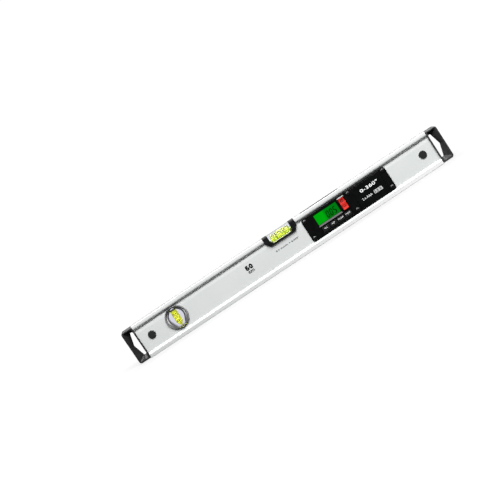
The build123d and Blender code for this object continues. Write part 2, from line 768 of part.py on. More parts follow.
# Front plate: bevelled display opening, shallow key row, raised collar round the rocker,
# lid opening, six screw seats, and two ears behind it for the rocker pin
collar_low = rocker_low - rocker_gap - collar_crest
collar_high = rocker_high + rocker_gap + collar_crest
collar_width = rocker_width + 2 * (rocker_gap + collar_crest)
key_row_width = (key_count - 1) * key_pitch + key_width + 2 * key_row_border
key_row_height = key_height + 2 * key_row_border
key_row_x = (key_xs[0] + key_xs[-1]) / 2
with BuildPart() as front_bezel:
    with BuildSketch(Plane.XZ.offset(web_face)):
        with Locations((bezel_x, mid_height)):
            RectangleRounded(bezel_length, bezel_high - bezel_low, bezel_corner)
    extrude(amount=bezel_thickness)
    fillet(front_bezel.edges().group_by(Axis.Y)[0], bezel_edge_round)
    with BuildSketch(Plane.XZ.offset(bezel_front)) as display_rim:
        rim_width = display_width + display_bevel_left + display_bevel_right
        rim_height = display_height + display_bevel_low + display_bevel_top
        rim_x = display_x + (display_bevel_right - display_bevel_left) / 2
        rim_z = display_z + (display_bevel_top - display_bevel_low) / 2
        with Locations((rim_x, rim_z)):
            RectangleRounded(rim_width, rim_height, display_corner)
    with BuildSketch(Plane.XZ.offset(web_face)) as display_opening:
        with Locations((display_x, display_z)):
            RectangleRounded(display_width, display_height, display_corner)
    loft(sections=[display_rim.sketch, display_opening.sketch], ruled=True, mode=Mode.SUBTRACT)
    with BuildSketch(Plane.XZ.offset(bezel_front)) as key_row_rim:
        with Locations((key_row_x, key_z)):
            RectangleRounded(
                key_row_width + 2 * key_row_bevel,
                key_row_height + 2 * key_row_bevel,
                key_corner,
            )
    with BuildSketch(Plane.XZ.offset(bezel_front - key_row_depth)) as key_row_floor:
        with Locations((key_row_x, key_z)):
            RectangleRounded(key_row_width, key_row_height, key_corner)
    loft(sections=[key_row_rim.sketch, key_row_floor.sketch], ruled=True, mode=Mode.SUBTRACT)
    with BuildSketch(Plane.XZ.offset(bezel_front)) as collar_base:
        base_low = collar_low - collar_flank
        base_high = collar_high + collar_flank_top
        with Locations((rocker_x, (base_low + base_high) / 2)):
            RectangleRounded(
                collar_width + 2 * collar_flank,
                base_high - base_low,
                rocker_corner + collar_flank,
            )
    with BuildSketch(Plane.XZ.offset(bezel_front + collar_height)) as collar_top:
        with Locations((rocker_x, (collar_low + collar_high) / 2)):
            RectangleRounded(collar_width, collar_high - collar_low, rocker_corner)
    loft(sections=[collar_base.sketch, collar_top.sketch], ruled=True)
    with BuildSketch(Plane.XZ) as bezel_openings:
        with Locations(*[(x, key_z) for x in key_xs]):
            RectangleRounded(key_width + 2 * key_gap, key_height + 2 * key_gap, key_corner)
        with Locations((rocker_x, rocker_z)):
            RectangleRounded(
                rocker_width + 2 * rocker_gap,
                rocker_height + 2 * rocker_gap,
                rocker_corner,
            )
        with Locations((lid_x, lid_z)):
            RectangleRounded(lid_width + 2 * lid_gap, lid_height + 2 * lid_gap, lid_corner)
    extrude(bezel_openings.sketch, amount=level_depth, mode=Mode.SUBTRACT)
    with Locations(Plane.XZ.offset(bezel_front)):
        with Locations(*screw_places):
            CounterBoreHole(
                radius=screw_diameter / 2 + screw_hole_gap,
                counter_bore_radius=screw_head_diameter / 2 + screw_seat_gap,
                counter_bore_depth=screw_seat_depth,
            )
    ear_spread = rocker_width + 2 * ear_gap + ear_width
    with BuildSketch(Plane.XZ.offset(web_face)) as ears:
        with Locations((rocker_x, rocker_z)):
            with GridLocations(ear_spread, 0, 2, 1):
                Rectangle(ear_width, 2 * ear_half_height)
    extrude(ears.sketch, amount=-ear_depth)
    with BuildSketch(Plane.YZ.offset(rocker_x)) as ear_holes:
        with Locations((-pin_forward, rocker_z)):
            Circle(pin_diameter / 2 + pin_fit)
    extrude(ear_holes.sketch, amount=ear_spread, both=True, mode=Mode.SUBTRACT)

# Button-head screws with a hexagon socket, and the threaded bushes clinched into the web
screw_seat = bezel_front - screw_seat_depth
with BuildPart() as bezel_screws:
    with BuildSketch(Plane.XZ.offset(screw_seat)):
        with Locations(*screw_places):
            Circle(screw_head_diameter / 2)
    extrude(amount=screw_head_height)
    fillet(bezel_screws.edges().group_by(Axis.Y)[0], screw_head_round)
    with BuildSketch(Plane.XZ.offset(screw_seat)):
        with Locations(*screw_places):
            Circle(screw_diameter / 2)
    extrude(amount=-screw_length)
    socket_floor = screw_seat + screw_head_height - screw_socket_depth
    with BuildSketch(Plane.XZ.offset(socket_floor)):
        with Locations(*screw_places):
            RegularPolygon(screw_socket / 2, 6, major_radius=False)
    extrude(amount=screw_head_height, mode=Mode.SUBTRACT)

with BuildPart() as clinch_nuts:
    with BuildSketch(Plane.XZ.offset(web_face - seat_gap)):
        with Locations(*screw_places):
            Circle(bush_diameter / 2)
    extrude(amount=-bush_length)
    with BuildSketch(Plane.XZ.offset(cavity_face)):
        with Locations(*screw_places):
            Circle(bush_collar_diameter / 2)
    extrude(amount=-bush_collar_height)
    with BuildSketch(Plane.XZ.offset(web_face)):
        with Locations(*screw_places):
            Circle(screw_diameter / 2 + bush_gap)
    extrude(amount=-level_depth, mode=Mode.SUBTRACT)

# Clear lens behind the plate, liquid-crystal panel with a stepped lower glass, and the light guide
with BuildPart() as display_lens:
    with BuildSketch(Plane.XZ.offset(lens_back)):
        with Locations((display_x, display_z)):
            RectangleRounded(
                display_width + 2 * lens_margin,
                display_height + 2 * lens_margin,
                display_corner,
            )
    extrude(amount=lens_thickness)

lcd_width = display_width + 2 * lcd_margin
lcd_height = display_height + 2 * lcd_margin
with BuildPart() as front_lcd:
    with BuildSketch(Plane.XZ.offset(lcd_back)):
        with Locations((display_x, display_z - lcd_ledge / 2)):
            Rectangle(lcd_width, lcd_height + lcd_ledge)
    extrude(amount=lcd_thickness / 2)
    with BuildSketch(Plane.XZ.offset(lcd_back + lcd_thickness / 2)):
        with Locations((display_x, display_z)):
            Rectangle(lcd_width, lcd_height)
    extrude(amount=lcd_thickness / 2)

with BuildPart() as lcd_light_guide:
    with BuildSketch(Plane.XZ.offset(board_front)):
        with Locations((display_x, display_z)):
            Rectangle(lcd_width, lcd_height)
    extrude(amount=guide_thickness)

# Red rocker: one cap with two dished ends, turning on a steel pin
with BuildPart() as rocker_key:
    with BuildSketch(Plane.XZ.offset(rocker_front)):
        with Locations((rocker_x, rocker_z)):
            RectangleRounded(rocker_width, rocker_height, rocker_corner)
    extrude(amount=-rocker_depth)
    fillet(rocker_key.edges().group_by(Axis.Y)[0], rocker_edge_round)
    dish_centre = -(rocker_front + rocker_dish_radius - rocker_dish_depth)
    with BuildSketch(Plane.YZ.offset(rocker_x)) as rocker_dishes:
        with Locations((dish_centre, rocker_z)):
            with GridLocations(0, rocker_height / 2, 1, 2):
                Circle(rocker_dish_radius)
    extrude(rocker_dishes.sketch, amount=rocker_width, both=True, mode=Mode.SUBTRACT)
    with BuildSketch(Plane.YZ.offset(rocker_x)) as rocker_bore:
        with Locations((-pin_forward, rocker_z)):
            Circle(pin_diameter / 2 + pin_gap)
    extrude(rocker_bore.sketch, amount=rocker_width, both=True, mode=Mode.SUBTRACT)

with BuildPart() as rocker_pin:
    with BuildSketch(Plane.YZ.offset(rocker_x)):
        with Locations((-pin_forward, rocker_z)):
            Circle(pin_diameter / 2)
    extrude(amount=(ear_spread + ear_width) / 2, both=True)

# Four function keys: a rounded cap, a flange behind the plate and a stem over its dome
key_front = bezel_front + key_stand
flange_front = web_face - key_flange_gap
flange_back = flange_front - key_flange_thickness
function_keys = []
for key_x in key_xs:
    with BuildPart() as function_key:
        with BuildSketch(Plane.XZ.offset(flange_back)):
            with Locations((key_x, key_z)):
                RectangleRounded(key_width, key_height, key_corner)
        extrude(amount=key_front - flange_back)
        fillet(function_key.edges().group_by(Axis.Y)[0], key_edge_round)
        with BuildSketch(Plane.XZ.offset(flange_back)):
            with Locations((key_x, key_z)):
                RectangleRounded(key_width, key_height + 2 * key_flange, key_corner)
        extrude(amount=key_flange_thickness)
        with BuildSketch(Plane.XZ.offset(flange_back)):
            with Locations((key_x, key_z)):
                Rectangle(key_width - 2 * key_stem_inset, key_height - 2 * key_stem_inset)
        extrude(amount=-key_stem)
    function_keys.append(function_key)

# Tub behind the plate: posts with pins for the board, a slot for the ribbon, holes for the leads
with BuildPart() as display_tub:
    with BuildSketch(Plane.XZ.offset(tub_back)):
        with Locations((tub_x, tub_z)):
            RectangleRounded(tub_right - tub_left, tub_high - tub_low, bay_round)
    extrude(amount=web_face - tub_back)
    with BuildSketch(Plane.XZ.offset(tub_back + tub_floor)) as tub_inside:
        with Locations((tub_x, tub_z)):
            Rectangle(tub_right - tub_left - 2 * tub_wall, tub_high - tub_low - 2 * tub_wall)
    extrude(tub_inside.sketch, amount=level_depth, mode=Mode.SUBTRACT)
    with BuildSketch(Plane.XZ.offset(tub_back + tub_floor)) as posts:
        with Locations((tub_x, tub_z)):
            with GridLocations(post_spread_x, post_spread_z, 2, 2):
                Circle(post_diameter / 2)
    extrude(posts.sketch, amount=board_back - tub_back - tub_floor)
    with BuildSketch(Plane.XZ.offset(board_back)) as post_pins:
        with Locations((tub_x, tub_z)):
            with GridLocations(post_spread_x, post_spread_z, 2, 2):
                Circle(post_pin_diameter / 2)
    extrude(post_pins.sketch, amount=post_pin_height)
    with BuildSketch(Plane.XY.offset(tub_z)) as ribbon_slot:
        with Locations((display_x, -ribbon_forward)):
            Rectangle(ribbon_width + 2 * ribbon_slot_gap, ribbon_thickness + 2 * ribbon_slot_gap)
    extrude(ribbon_slot.sketch, amount=level_height, mode=Mode.SUBTRACT)
    with BuildSketch(Plane.YZ.offset(tub_x)) as tub_lead_holes:
        with Locations(*lead_places):
            Circle(lead_diameter / 2 + lead_gap)
    extrude(tub_lead_holes.sketch, amount=level_length, mode=Mode.SUBTRACT)

# Circuit board with its tilt sensor, buzzer and battery connector behind it
with BuildPart() as main_board:
    with BuildSketch(Plane.XZ.offset(board_back)):
        with Locations((tub_x, tub_z)):
            RectangleRounded(board_width, board_height, board_corner)
            with GridLocations(post_spread_x, post_spread_z, 2, 2):
                Circle(post_pin_diameter / 2 + post_pin_gap, mode=Mode.SUBTRACT)
    extrude(amount=board_thickness)

with BuildPart() as tilt_sensor:
    with BuildSketch(Plane.XZ.offset(board_back)):
        with Locations((tub_x + sensor_offset, tub_z)):
            Rectangle(sensor_size, sensor_size)
    extrude(amount=-sensor_base)
    with BuildSketch(Plane.XZ.offset(board_back - sensor_base)):
        with Locations((tub_x + sensor_offset, tub_z)):
            Rectangle(sensor_size - 2 * sensor_lid_inset, sensor_size - 2 * sensor_lid_inset)
    extrude(amount=sensor_base - sensor_height)

with BuildPart() as buzzer:
    with BuildSketch(Plane.XZ.offset(board_back)):
        with Locations((tub_x + buzzer_offset, tub_z)):
            Circle(buzzer_diameter / 2)
    extrude(amount=-buzzer_height)
    with BuildSketch(Plane.XZ.offset(board_back - buzzer_height)):
        with Locations((tub_x + buzzer_offset, tub_z)):
            Circle(buzzer_hole / 2)
    extrude(amount=buzzer_hole_depth, mode=Mode.SUBTRACT)

connector_right = tub_right - tub_wall - connector_gap
with BuildPart() as lead_connector:
    with BuildSketch(Plane.XZ.offset(board_back)):
        with Locations((connector_right - connector_width / 2, mid_height)):
            Rectangle(connector_width, connector_height)
    extrude(amount=-connector_depth)

# Silicone mat over the board's contacts, with a dome under each key and under each rocker end
mat_low = key_low - mat_border / 2
mat_step = key_high + mat_border
mat_right = rocker_right + mat_border
with BuildPart() as keypad_mat:
    with BuildSketch(Plane.XZ.offset(board_front)):
        with BuildLine():
            Polyline(
                (key_xs[0] - key_width / 2, mat_low),
                (mat_right, mat_low),
                (mat_right, rocker_high),
                (rocker_left, rocker_high),
                (rocker_left, mat_step),
                (key_xs[0] - key_width / 2, mat_step),
                close=True,
            )
        make_face()
    extrude(amount=mat_thickness)
    dome_places = [(x, key_z) for x in key_xs]
    dome_places += [(rocker_x, rocker_z - rocker_dome_reach), (rocker_x, rocker_z + rocker_dome_reach)]
    with Locations(Plane.XZ.offset(mat_front)):
        with Locations(*dome_places):
            Cone(
                bottom_radius=dome_diameter / 2,
                top_radius=dome_top_diameter / 2,
                height=dome_height,
                align=(Align.CENTER, Align.CENTER, Align.MIN),
            )

# Battery lid: flush plate with two tabs under the left edge of its opening and four finger scallops
lid_back = web_face + lid_seat_gap
with BuildPart() as battery_lid:
    with BuildSketch(Plane.XZ.offset(lid_back)):
        with Locations((lid_x, lid_z)):
            RectangleRounded(lid_width, lid_height, lid_corner)
    extrude(amount=bezel_front - lid_back)
    fillet(battery_lid.edges().group_by(Axis.Y)[0], lid_edge_round)
    tab_front = web_face - lid_seat_gap
    for tab_z in (lid_z - tab_offset, lid_z + tab_offset):
        with BuildSketch(Plane.XY.offset(tab_z)) as tab:
            with BuildLine():
                Polyline(
                    (lid_left - tab_reach + lid_gap, -tab_front),
                    (lid_left + lid_gap, -tab_front),
                    (lid_left + lid_gap, -lid_back),
                    (lid_left + tab_root, -lid_back),
                    (lid_left + tab_root, tab_thickness - tab_front),
                    (lid_left - tab_reach + lid_gap, tab_thickness - tab_front),
                    close=True,
                )
            make_face()
        extrude(tab.sketch, amount=tab_width / 2, both=True)
    with BuildSketch(Plane.XZ.offset(bezel_front - scallop_depth)) as scallops:
        with Locations((lid_x, lid_z)):
            with GridLocations(lid_width - 2 * scallop_inset, 2 * tab_offset, 2, 2):
                Circle(scallop_radius)
    extrude(scallops.sketch, amount=scallop_depth, mode=Mode.SUBTRACT)

# Battery tray: a block with a channel for each cell, a recess under the lid and notches for its tabs
tray_back = tub_back
tray_floor = web_face - tray_recess
cell_radius = cell_diameter / 2
channel_radius = cell_radius + cell_gap
channel_forward = tray_back + tub_floor + channel_radius
channel_length = cell_length + 2 * (contact_spring + contact_thickness)
with BuildPart() as battery_tray:
    with BuildSketch(Plane.XZ.offset(tray_back)):
        with Locations((lid_x, tub_z)):
            RectangleRounded(tray_width, tub_high - tub_low, bay_round)
    extrude(amount=web_face - tray_back)
    with BuildSketch(Plane.XZ.offset(tray_floor)) as tray_opening:
        with Locations((lid_x, tub_z)):
            Rectangle(tray_width - 2 * tray_rim, tub_high - tub_low - 2 * tray_rim)
    extrude(tray_opening.sketch, amount=level_depth, mode=Mode.SUBTRACT)
    with BuildSketch(Plane.YZ.offset(lid_x)) as channels:
        with Locations(*[(-channel_forward, z) for z in cell_zs]):
            Circle(channel_radius)
        with Locations(*[(-channel_forward - channel_radius, z) for z in cell_zs]):
            Rectangle(2 * channel_radius, 2 * channel_radius)
    extrude(channels.sketch, amount=channel_length / 2, both=True, mode=Mode.SUBTRACT)
    with BuildSketch(Plane.XZ.offset(tray_floor)) as tab_notches:
        with Locations((tray_left, lid_z - tab_offset), (tray_left, lid_z + tab_offset)):
            Rectangle(4 * tray_rim, tab_width + 2 * tab_gap)
    extrude(tab_notches.sketch, amount=level_depth, mode=Mode.SUBTRACT)
    with BuildSketch(Plane.YZ.offset(lid_x)) as tray_lead_holes:
        with Locations(*lead_places):
            Circle(lead_diameter / 2 + lead_gap)
    extrude(tray_lead_holes.sketch, amount=-level_length, mode=Mode.SUBTRACT)

# Two AAA cells side by side, head to tail
with BuildPart() as battery_cells:
    for cell_z, head in zip(cell_zs, (1, -1)):
        tail_x = lid_x - head * cell_length / 2
        tail = Plane(origin=(tail_x, -channel_forward, cell_z), z_dir=(head, 0, 0))
        with BuildSketch(tail) as cell_body:
            Circle(cell_radius)
        extrude(cell_body.sketch, amount=cell_length - cell_nub_length)
        with BuildSketch(tail) as cell_nub:
            Circle(cell_nub_diameter / 2)
        extrude(cell_nub.sketch, amount=cell_length)
    cell_circles = battery_cells.edges().filter_by(GeomType.CIRCLE)
    fillet(cell_circles.filter_by(lambda edge: edge.radius > cell_nub_diameter), cell_round)

# Spring contacts at both ends of each cell: a plate on the end wall with a round bump
with BuildPart() as battery_contacts:
    for end in (-1, 1):
        plate_x = lid_x + end * channel_length / 2
        for contact_z in cell_zs:
            wall = Plane(origin=(plate_x, -channel_forward, contact_z), z_dir=(-end, 0, 0))
            with BuildSketch(wall) as plate:
                Rectangle(contact_width, contact_width)
            extrude(plate.sketch, amount=contact_thickness)
            with Locations(wall):
                Cone(
                    bottom_radius=contact_bump_diameter / 2,
                    top_radius=contact_bump_diameter / 4,
                    height=contact_thickness + contact_spring - contact_gap,
                    align=(Align.CENTER, Align.CENTER, Align.MIN),
                )

# Two leads from the left contacts to the connector on the board
with BuildPart() as battery_leads:
    with BuildSketch(Plane.YZ.offset(connector_right)):
        with Locations(*lead_places):
            Circle(lead_diameter / 2)
    extrude(amount=lid_x - channel_length / 2 - connector_right)

# Display in the top face: frame held by end tabs under the wall, lens, panel, and its ribbon
with BuildPart() as top_display_frame:
    with BuildSketch(Plane.XY.offset(top_frame_low)):
        with Locations((display_x, 0)):
            Rectangle(top_frame_length, top_slot_width - 2 * seat_gap)
    extrude(amount=top_frame_depth)
    tab_high = level_height - measuring_wall - top_tab_gap
    with BuildSketch(Plane.XY.offset(tab_high)) as frame_tabs:
        with Locations((display_x, 0)):
            Rectangle(top_frame_length + 2 * top_tab_reach, top_window_width)
    extrude(frame_tabs.sketch, amount=-top_tab_thickness)
    with BuildSketch(Plane.XY.offset(top_lens_low)) as lens_seat:
        with Locations((display_x, 0)):
            Rectangle(top_seat_length, top_lens_width + 2 * top_part_gap)
    extrude(lens_seat.sketch, amount=level_height, mode=Mode.SUBTRACT)
    with BuildSketch(Plane.XY.offset(mid_height)) as top_opening:
        with Locations((display_x, 0)):
            Rectangle(display_width, top_window_width)
    extrude(top_opening.sketch, amount=level_height, mode=Mode.SUBTRACT)
    with BuildSketch(Plane.XY.offset(top_lens_low - top_ledge)) as panel_pocket:
        with Locations((display_x, 0)):
            Rectangle(top_seat_length, top_lcd_width + 2 * top_part_gap)
    extrude(panel_pocket.sketch, amount=-top_frame_depth, mode=Mode.SUBTRACT)

with BuildPart() as top_display_lens:
    with BuildSketch(Plane.XY.offset(top_lens_low)):
        with Locations((display_x, 0)):
            Rectangle(top_lens_length, top_lens_width)
    extrude(amount=top_lens_thickness)

with BuildPart() as top_lcd:
    with BuildSketch(Plane.XY.offset(top_lcd_low)):
        with Locations((display_x, 0)):
            Rectangle(top_lens_length, top_lcd_width)
    extrude(amount=top_lcd_thickness)

with BuildPart() as display_ribbon:
    with BuildSketch(Plane.YZ.offset(display_x)):
        with BuildLine():
            FilletPolyline(
                (-ribbon_forward, tub_high - tub_wall - ribbon_tail),
                (-ribbon_forward, ribbon_high),
                (ribbon_run - ribbon_forward, ribbon_high),
                radius=ribbon_bend,
            )
            offset(amount=ribbon_thickness / 2, side=Side.BOTH)
        make_face()
    extrude(amount=ribbon_width / 2, both=True)

pieces = {
    "profile": profile,
    "left_end_cap": left_end_cap,
    "right_end_cap": right_end_cap,
    "lock_plugs": lock_plugs,
    "plumb_front_ring": plumb_front_ring,
    "plumb_rear_ring": plumb_rear_ring,
    "plumb_carrier": plumb_carrier,
    "plumb_vial_tube": plumb_vial_tube,
    "plumb_vial_plug": plumb_vial_plug,
    "plumb_vial_fluid": plumb_vial_fluid,
    "plumb_vial_bubble": plumb_vial_bubble,
    "plumb_vial_lines": plumb_vial_lines,
    "vial_holder": vial_holder,
    "level_vial_block": level_vial_block,
    "level_vial_plug": level_vial_plug,
    "level_vial_fluid": level_vial_fluid,
    "level_vial_bubble": level_vial_bubble,
    "level_vial_lines": level_vial_lines,
    "front_bezel": front_bezel,
    "bezel_screws": bezel_screws,
    "clinch_nuts": clinch_nuts,
    "display_lens": display_lens,
    "front_lcd": front_lcd,
    "lcd_light_guide": lcd_light_guide,
    "rocker_key": rocker_key,
    "rocker_pin": rocker_pin,
    "display_tub": display_tub,
    "main_board": main_board,
    "tilt_sensor": tilt_sensor,
    "buzzer": buzzer,
    "lead_connector": lead_connector,
    "keypad_mat": keypad_mat,
    "battery_lid": battery_lid,
    "battery_tray": battery_tray,
    "battery_cells": battery_cells,
    "battery_contacts": battery_contacts,
    "battery_leads": battery_leads,
    "top_display_frame": top_display_frame,
    "top_display_lens": top_display_lens,
    "top_lcd": top_lcd,
    "display_ribbon": display_ribbon,
}
for index, function_key in enumerate(function_keys):
    pieces[f"function_key_{index + 1}"] = function_key

os.makedirs("parts", exist_ok=True)
for name, piece in pieces.items():
    piece.part.label = name
    export_step(piece.part, f"parts/{name}.step")
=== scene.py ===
import math

import bmesh
import bpy
import numpy as np
from mathutils import Matrix, Vector


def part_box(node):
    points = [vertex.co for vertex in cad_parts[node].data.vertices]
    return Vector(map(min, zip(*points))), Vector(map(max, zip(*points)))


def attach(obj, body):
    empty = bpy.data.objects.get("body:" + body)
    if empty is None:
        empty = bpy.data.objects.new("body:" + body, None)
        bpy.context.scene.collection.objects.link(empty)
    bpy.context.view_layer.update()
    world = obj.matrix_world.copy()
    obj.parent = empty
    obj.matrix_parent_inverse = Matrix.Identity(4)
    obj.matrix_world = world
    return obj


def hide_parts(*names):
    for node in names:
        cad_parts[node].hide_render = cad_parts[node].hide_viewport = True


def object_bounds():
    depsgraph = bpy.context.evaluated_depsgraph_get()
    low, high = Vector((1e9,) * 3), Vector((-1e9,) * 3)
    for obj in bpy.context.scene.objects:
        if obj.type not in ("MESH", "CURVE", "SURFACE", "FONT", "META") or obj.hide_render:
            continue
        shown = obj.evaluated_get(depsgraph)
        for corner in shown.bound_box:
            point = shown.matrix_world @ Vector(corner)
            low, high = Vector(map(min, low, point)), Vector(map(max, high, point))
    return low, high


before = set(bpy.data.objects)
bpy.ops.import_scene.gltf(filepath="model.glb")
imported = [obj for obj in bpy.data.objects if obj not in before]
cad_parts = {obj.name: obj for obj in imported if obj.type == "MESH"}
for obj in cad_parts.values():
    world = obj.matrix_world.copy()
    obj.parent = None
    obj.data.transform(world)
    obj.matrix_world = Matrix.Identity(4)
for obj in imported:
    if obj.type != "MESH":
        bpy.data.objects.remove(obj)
cad_low, cad_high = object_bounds()

# Extruded aluminium profile, the box section that carries everything. It comes out of a die with fine
# lines along its length and is blasted and anodised in silver. Its lips are milled bright and the
# measuring face on top is ground matt. Painted light brightens the lower lip towards the right and the
# whole profile at its right end, and painted shade darkens the curves beside the web, with painted light
# on the web under the upper lip.
mm = 0.001

# Heights where the tone changes, as shares of the level's height
lip_share = 0.085
low_curve_share = 0.125
web_low_share = 0.165
web_rise_share = 0.715
web_high_share = 0.805
high_curve_share = 0.885
high_lip_share = 0.945

# Tones of the lips, the slopes beside them, the web and the top face, and how rough each is. The lower
# and the upper curve carry painted shade, the top of the web painted light against the upper lip's shade,
# and the lower lip painted light that grows towards the right
lip_silver = (0.88, 0.89, 0.885)
low_slope_silver = (0.78, 0.79, 0.785)
low_curve_painted_shade = (0.20, 0.205, 0.203)
high_curve_painted_shade = (0.42, 0.43, 0.425)
web_silver = (0.685, 0.705, 0.698)
web_high_painted_light = (0.86, 0.885, 0.876)
low_lip_painted_light = (
    (0.05, (0.68, 0.695, 0.69)),
    (0.45, (0.78, 0.79, 0.785)),
    (0.85, (0.95, 0.955, 0.95)),
)
top_silver = (0.23, 0.233, 0.231, 1.0)
lip_roughness = 0.28
slope_roughness = 0.5
web_roughness = 0.42
top_roughness = 0.56
low_lip_fade = (5.4 * mm, 4.6 * mm)
top_skin = (0.12 * mm, 0.03 * mm)

# Faint clouds in the anodising, painted light that brightens the right end, and the lines of the die
cloud_size = 45 * mm
cloud_tones = ((0.3, (0.965, 0.97, 0.97)), (0.7, (1.0, 1.0, 1.0)))
right_end_painted_light = ((0.55, (1.0, 1.0, 1.0)), (0.95, (1.05, 1.05, 1.05)))
die_line_width = 0.5 * mm
die_line_stretch = (400, 1, 1)
die_line_depth = 0.004 * mm


def finish(name, colour, roughness, sockets=None):
    """One Principled shader; whatever is even all over the piece is set on its own sockets."""
    material = bpy.data.materials.new(name)
    material.use_nodes = True
    shader = material.node_tree.nodes["Principled BSDF"]
    values = {"Base Color": (*colour, 1.0), "Roughness": roughness, **(sockets or {})}
    for socket, value in values.items():
        shader.inputs[socket].default_value = value
    return material


def node(material, kind, inputs, **settings):
    """A node of a kind with its settings; each input is a number or the output that feeds it."""
    tree = material.node_tree
    made = tree.nodes.new(kind)
    for name, value in settings.items():
        setattr(made, name, value)
    for name, value in inputs.items():
        if isinstance(value, bpy.types.NodeSocket):
            tree.links.new(value, made.inputs[name])
        else:
            made.inputs[name].default_value = value
    return made


def feed(material, socket, output):
    """Lets an output drive a socket of the material's shader."""
    shader = material.node_tree.nodes["Principled BSDF"]
    material.node_tree.links.new(output, shader.inputs[socket])


def place(material):
    """Where a point of the piece lies, in metres in the frame of the level."""
    return node(material, "ShaderNodeTexCoord", {}).outputs["Object"]


def share(material, value, start, end):
    """How far a value has come from start to end, from 0 to 1."""
    inputs = {"Value": value, "From Min": start, "From Max": end}
    return node(material, "ShaderNodeMapRange", inputs).outputs["Result"]


def along(material, axis, start, end):
    """Share of the way from start to end along one axis."""
    parts = node(material, "ShaderNodeSeparateXYZ", {"Vector": place(material)})
    return share(material, parts.outputs[axis], start, end)


def blend(material, amount, off, on):
    """A colour that goes from off to on with a share."""
    return node(material, "ShaderNodeMix", {0: amount, 6: off, 7: on}, data_type="RGBA").outputs[2]


def overlay(material, under, over):
    """Two colours multiplied."""
    inputs = {0: 1.0, 6: under, 7: over}
    return node(material, "ShaderNodeMix", inputs, data_type="RGBA", blend_type="MULTIPLY").outputs[2]


def spots(material, size, stretch=(1, 1, 1), detail=2.0):
    """Noise whose blotches are about one size across, longer along an axis that is stretched."""
    scale = [1 / (size * s) for s in stretch]
    mapped = node(material, "ShaderNodeMapping", {"Vector": place(material), "Scale": scale})
    inputs = {"Vector": mapped.outputs["Vector"], "Scale": 1.0, "Detail": detail}
    return node(material, "ShaderNodeTexNoise", inputs).outputs["Fac"]


def ramp(material, amount, stops):
    """Colours that run from stop to stop as a share grows from 0 to 1."""
    made = node(material, "ShaderNodeValToRGB", {"Fac": amount})
    colours = made.color_ramp.elements
    while len(colours) < len(stops):
        colours.new(0.5)
    for element, (position, colour) in zip(colours, stops):
        element.position = position
        element.color = (*colour, 1.0)
    return made.outputs["Color"]


def grey(value):
    """A colour with three like parts."""
    return (value, value, value)


def relief(material, pattern, height):
    """Bump of a height in metres that follows a pattern."""
    made = node(material, "ShaderNodeBump", {"Height": pattern, "Strength": 1.0, "Distance": height})
    feed(material, "Normal", made.outputs["Normal"])


def dress(material, *names):
    """Gives CAD nodes a material in their own slot."""
    for name in names:
        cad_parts[name].material_slots[0].material = material


silver = finish("silver_extrusion", web_silver, web_roughness, {"Metallic": 0.5})
height_share = along(silver, "Z", cad_low.z, cad_high.z)
length_share = along(silver, "X", cad_low.x, cad_high.x)
# Tones by height: painted shade on the lower and the upper curve, and painted light on the top of the web
# under the upper lip
bands = ramp(
    silver,
    height_share,
    [
        (lip_share, low_slope_silver),
        (low_curve_share, low_curve_painted_shade),
        (web_low_share, web_silver),
        (web_rise_share, web_silver),
        (web_high_share, web_high_painted_light),
        (high_curve_share, high_curve_painted_shade),
        (high_lip_share, lip_silver),
    ],
)
clouds = ramp(silver, spots(silver, cloud_size), cloud_tones)
# Painted light that brightens the profile towards its right end
painted_right_light = ramp(silver, length_share, right_end_painted_light)
web_tone = overlay(silver, overlay(silver, bands, clouds), painted_right_light)
# Painted light on the lower lip, darker at its left end and brighter at its right
low_lip = along(silver, "Z", *(cad_low.z + height for height in low_lip_fade))
low_lip_painted_tone = ramp(silver, length_share, low_lip_painted_light)
front_tone = blend(silver, low_lip, web_tone, low_lip_painted_tone)
top_face = along(silver, "Z", *(cad_high.z - skin for skin in top_skin))
feed(silver, "Base Color", blend(silver, top_face, front_tone, top_silver))
roughness_bands = ramp(
    silver,
    height_share,
    [
        (lip_share, grey(lip_roughness)),
        (low_curve_share, grey(slope_roughness)),
        (web_low_share, grey(web_roughness)),
        (1 - web_low_share, grey(web_roughness)),
        (1 - lip_share, grey(lip_roughness)),
    ],
)
feed(silver, "Roughness", blend(silver, top_face, roughness_bands, (*grey(top_roughness), 1.0)))
relief(silver, spots(silver, die_line_width, stretch=die_line_stretch), height=die_line_depth)
dress(silver, "profile")

# Marks screen printed in black on the front of the web: the length in bold figures over its unit, and
# in thin figures under the horizontal vial how true that vial reads.
web_face = 8.7 * mm
ink_thickness = 0.03 * mm
length_x = -70.7 * mm
figure_z = 34.5 * mm
figure_step = 6.7 * mm
figure_stroke = 2.4 * mm
figure_reach = 1.85 * mm
figure_rise = 3.05 * mm
bowl_rise = 1.7 * mm
hook_turn = (40, 180)
hook_count = 16
bowl_turn = (180, 500)
bowl_count = 40
nought_count = 48
thin_end = 0.7
letter_steps = 6
bold_spacing = 3.0
merge_distance = 1e-7
noise_low, noise_high = 0.35, 0.65

# Name, words, width, height, middle along the level, middle over its foot, and how bold
web_marks = (
    ("length_mark_cm", "cm", 11.0 * mm, 4.1 * mm, length_x, 26.8 * mm, 0.04),
    ("vial_mark", "0.5 mm/m = 0.029°", 43.4 * mm, 2.6 * mm, 0.6 * mm, 31.1 * mm, 0.03),
)


def wander(material, pattern, dark, light):
    """A colour that goes from one tone to another over the span that a pattern's noise keeps to."""
    return ramp(material, pattern, [(noise_low, dark), (noise_high, light)])


def tone(material, pattern, dark, light):
    """Base colour that wanders between two tones with a pattern."""
    feed(material, "Base Color", wander(material, pattern, dark, light))


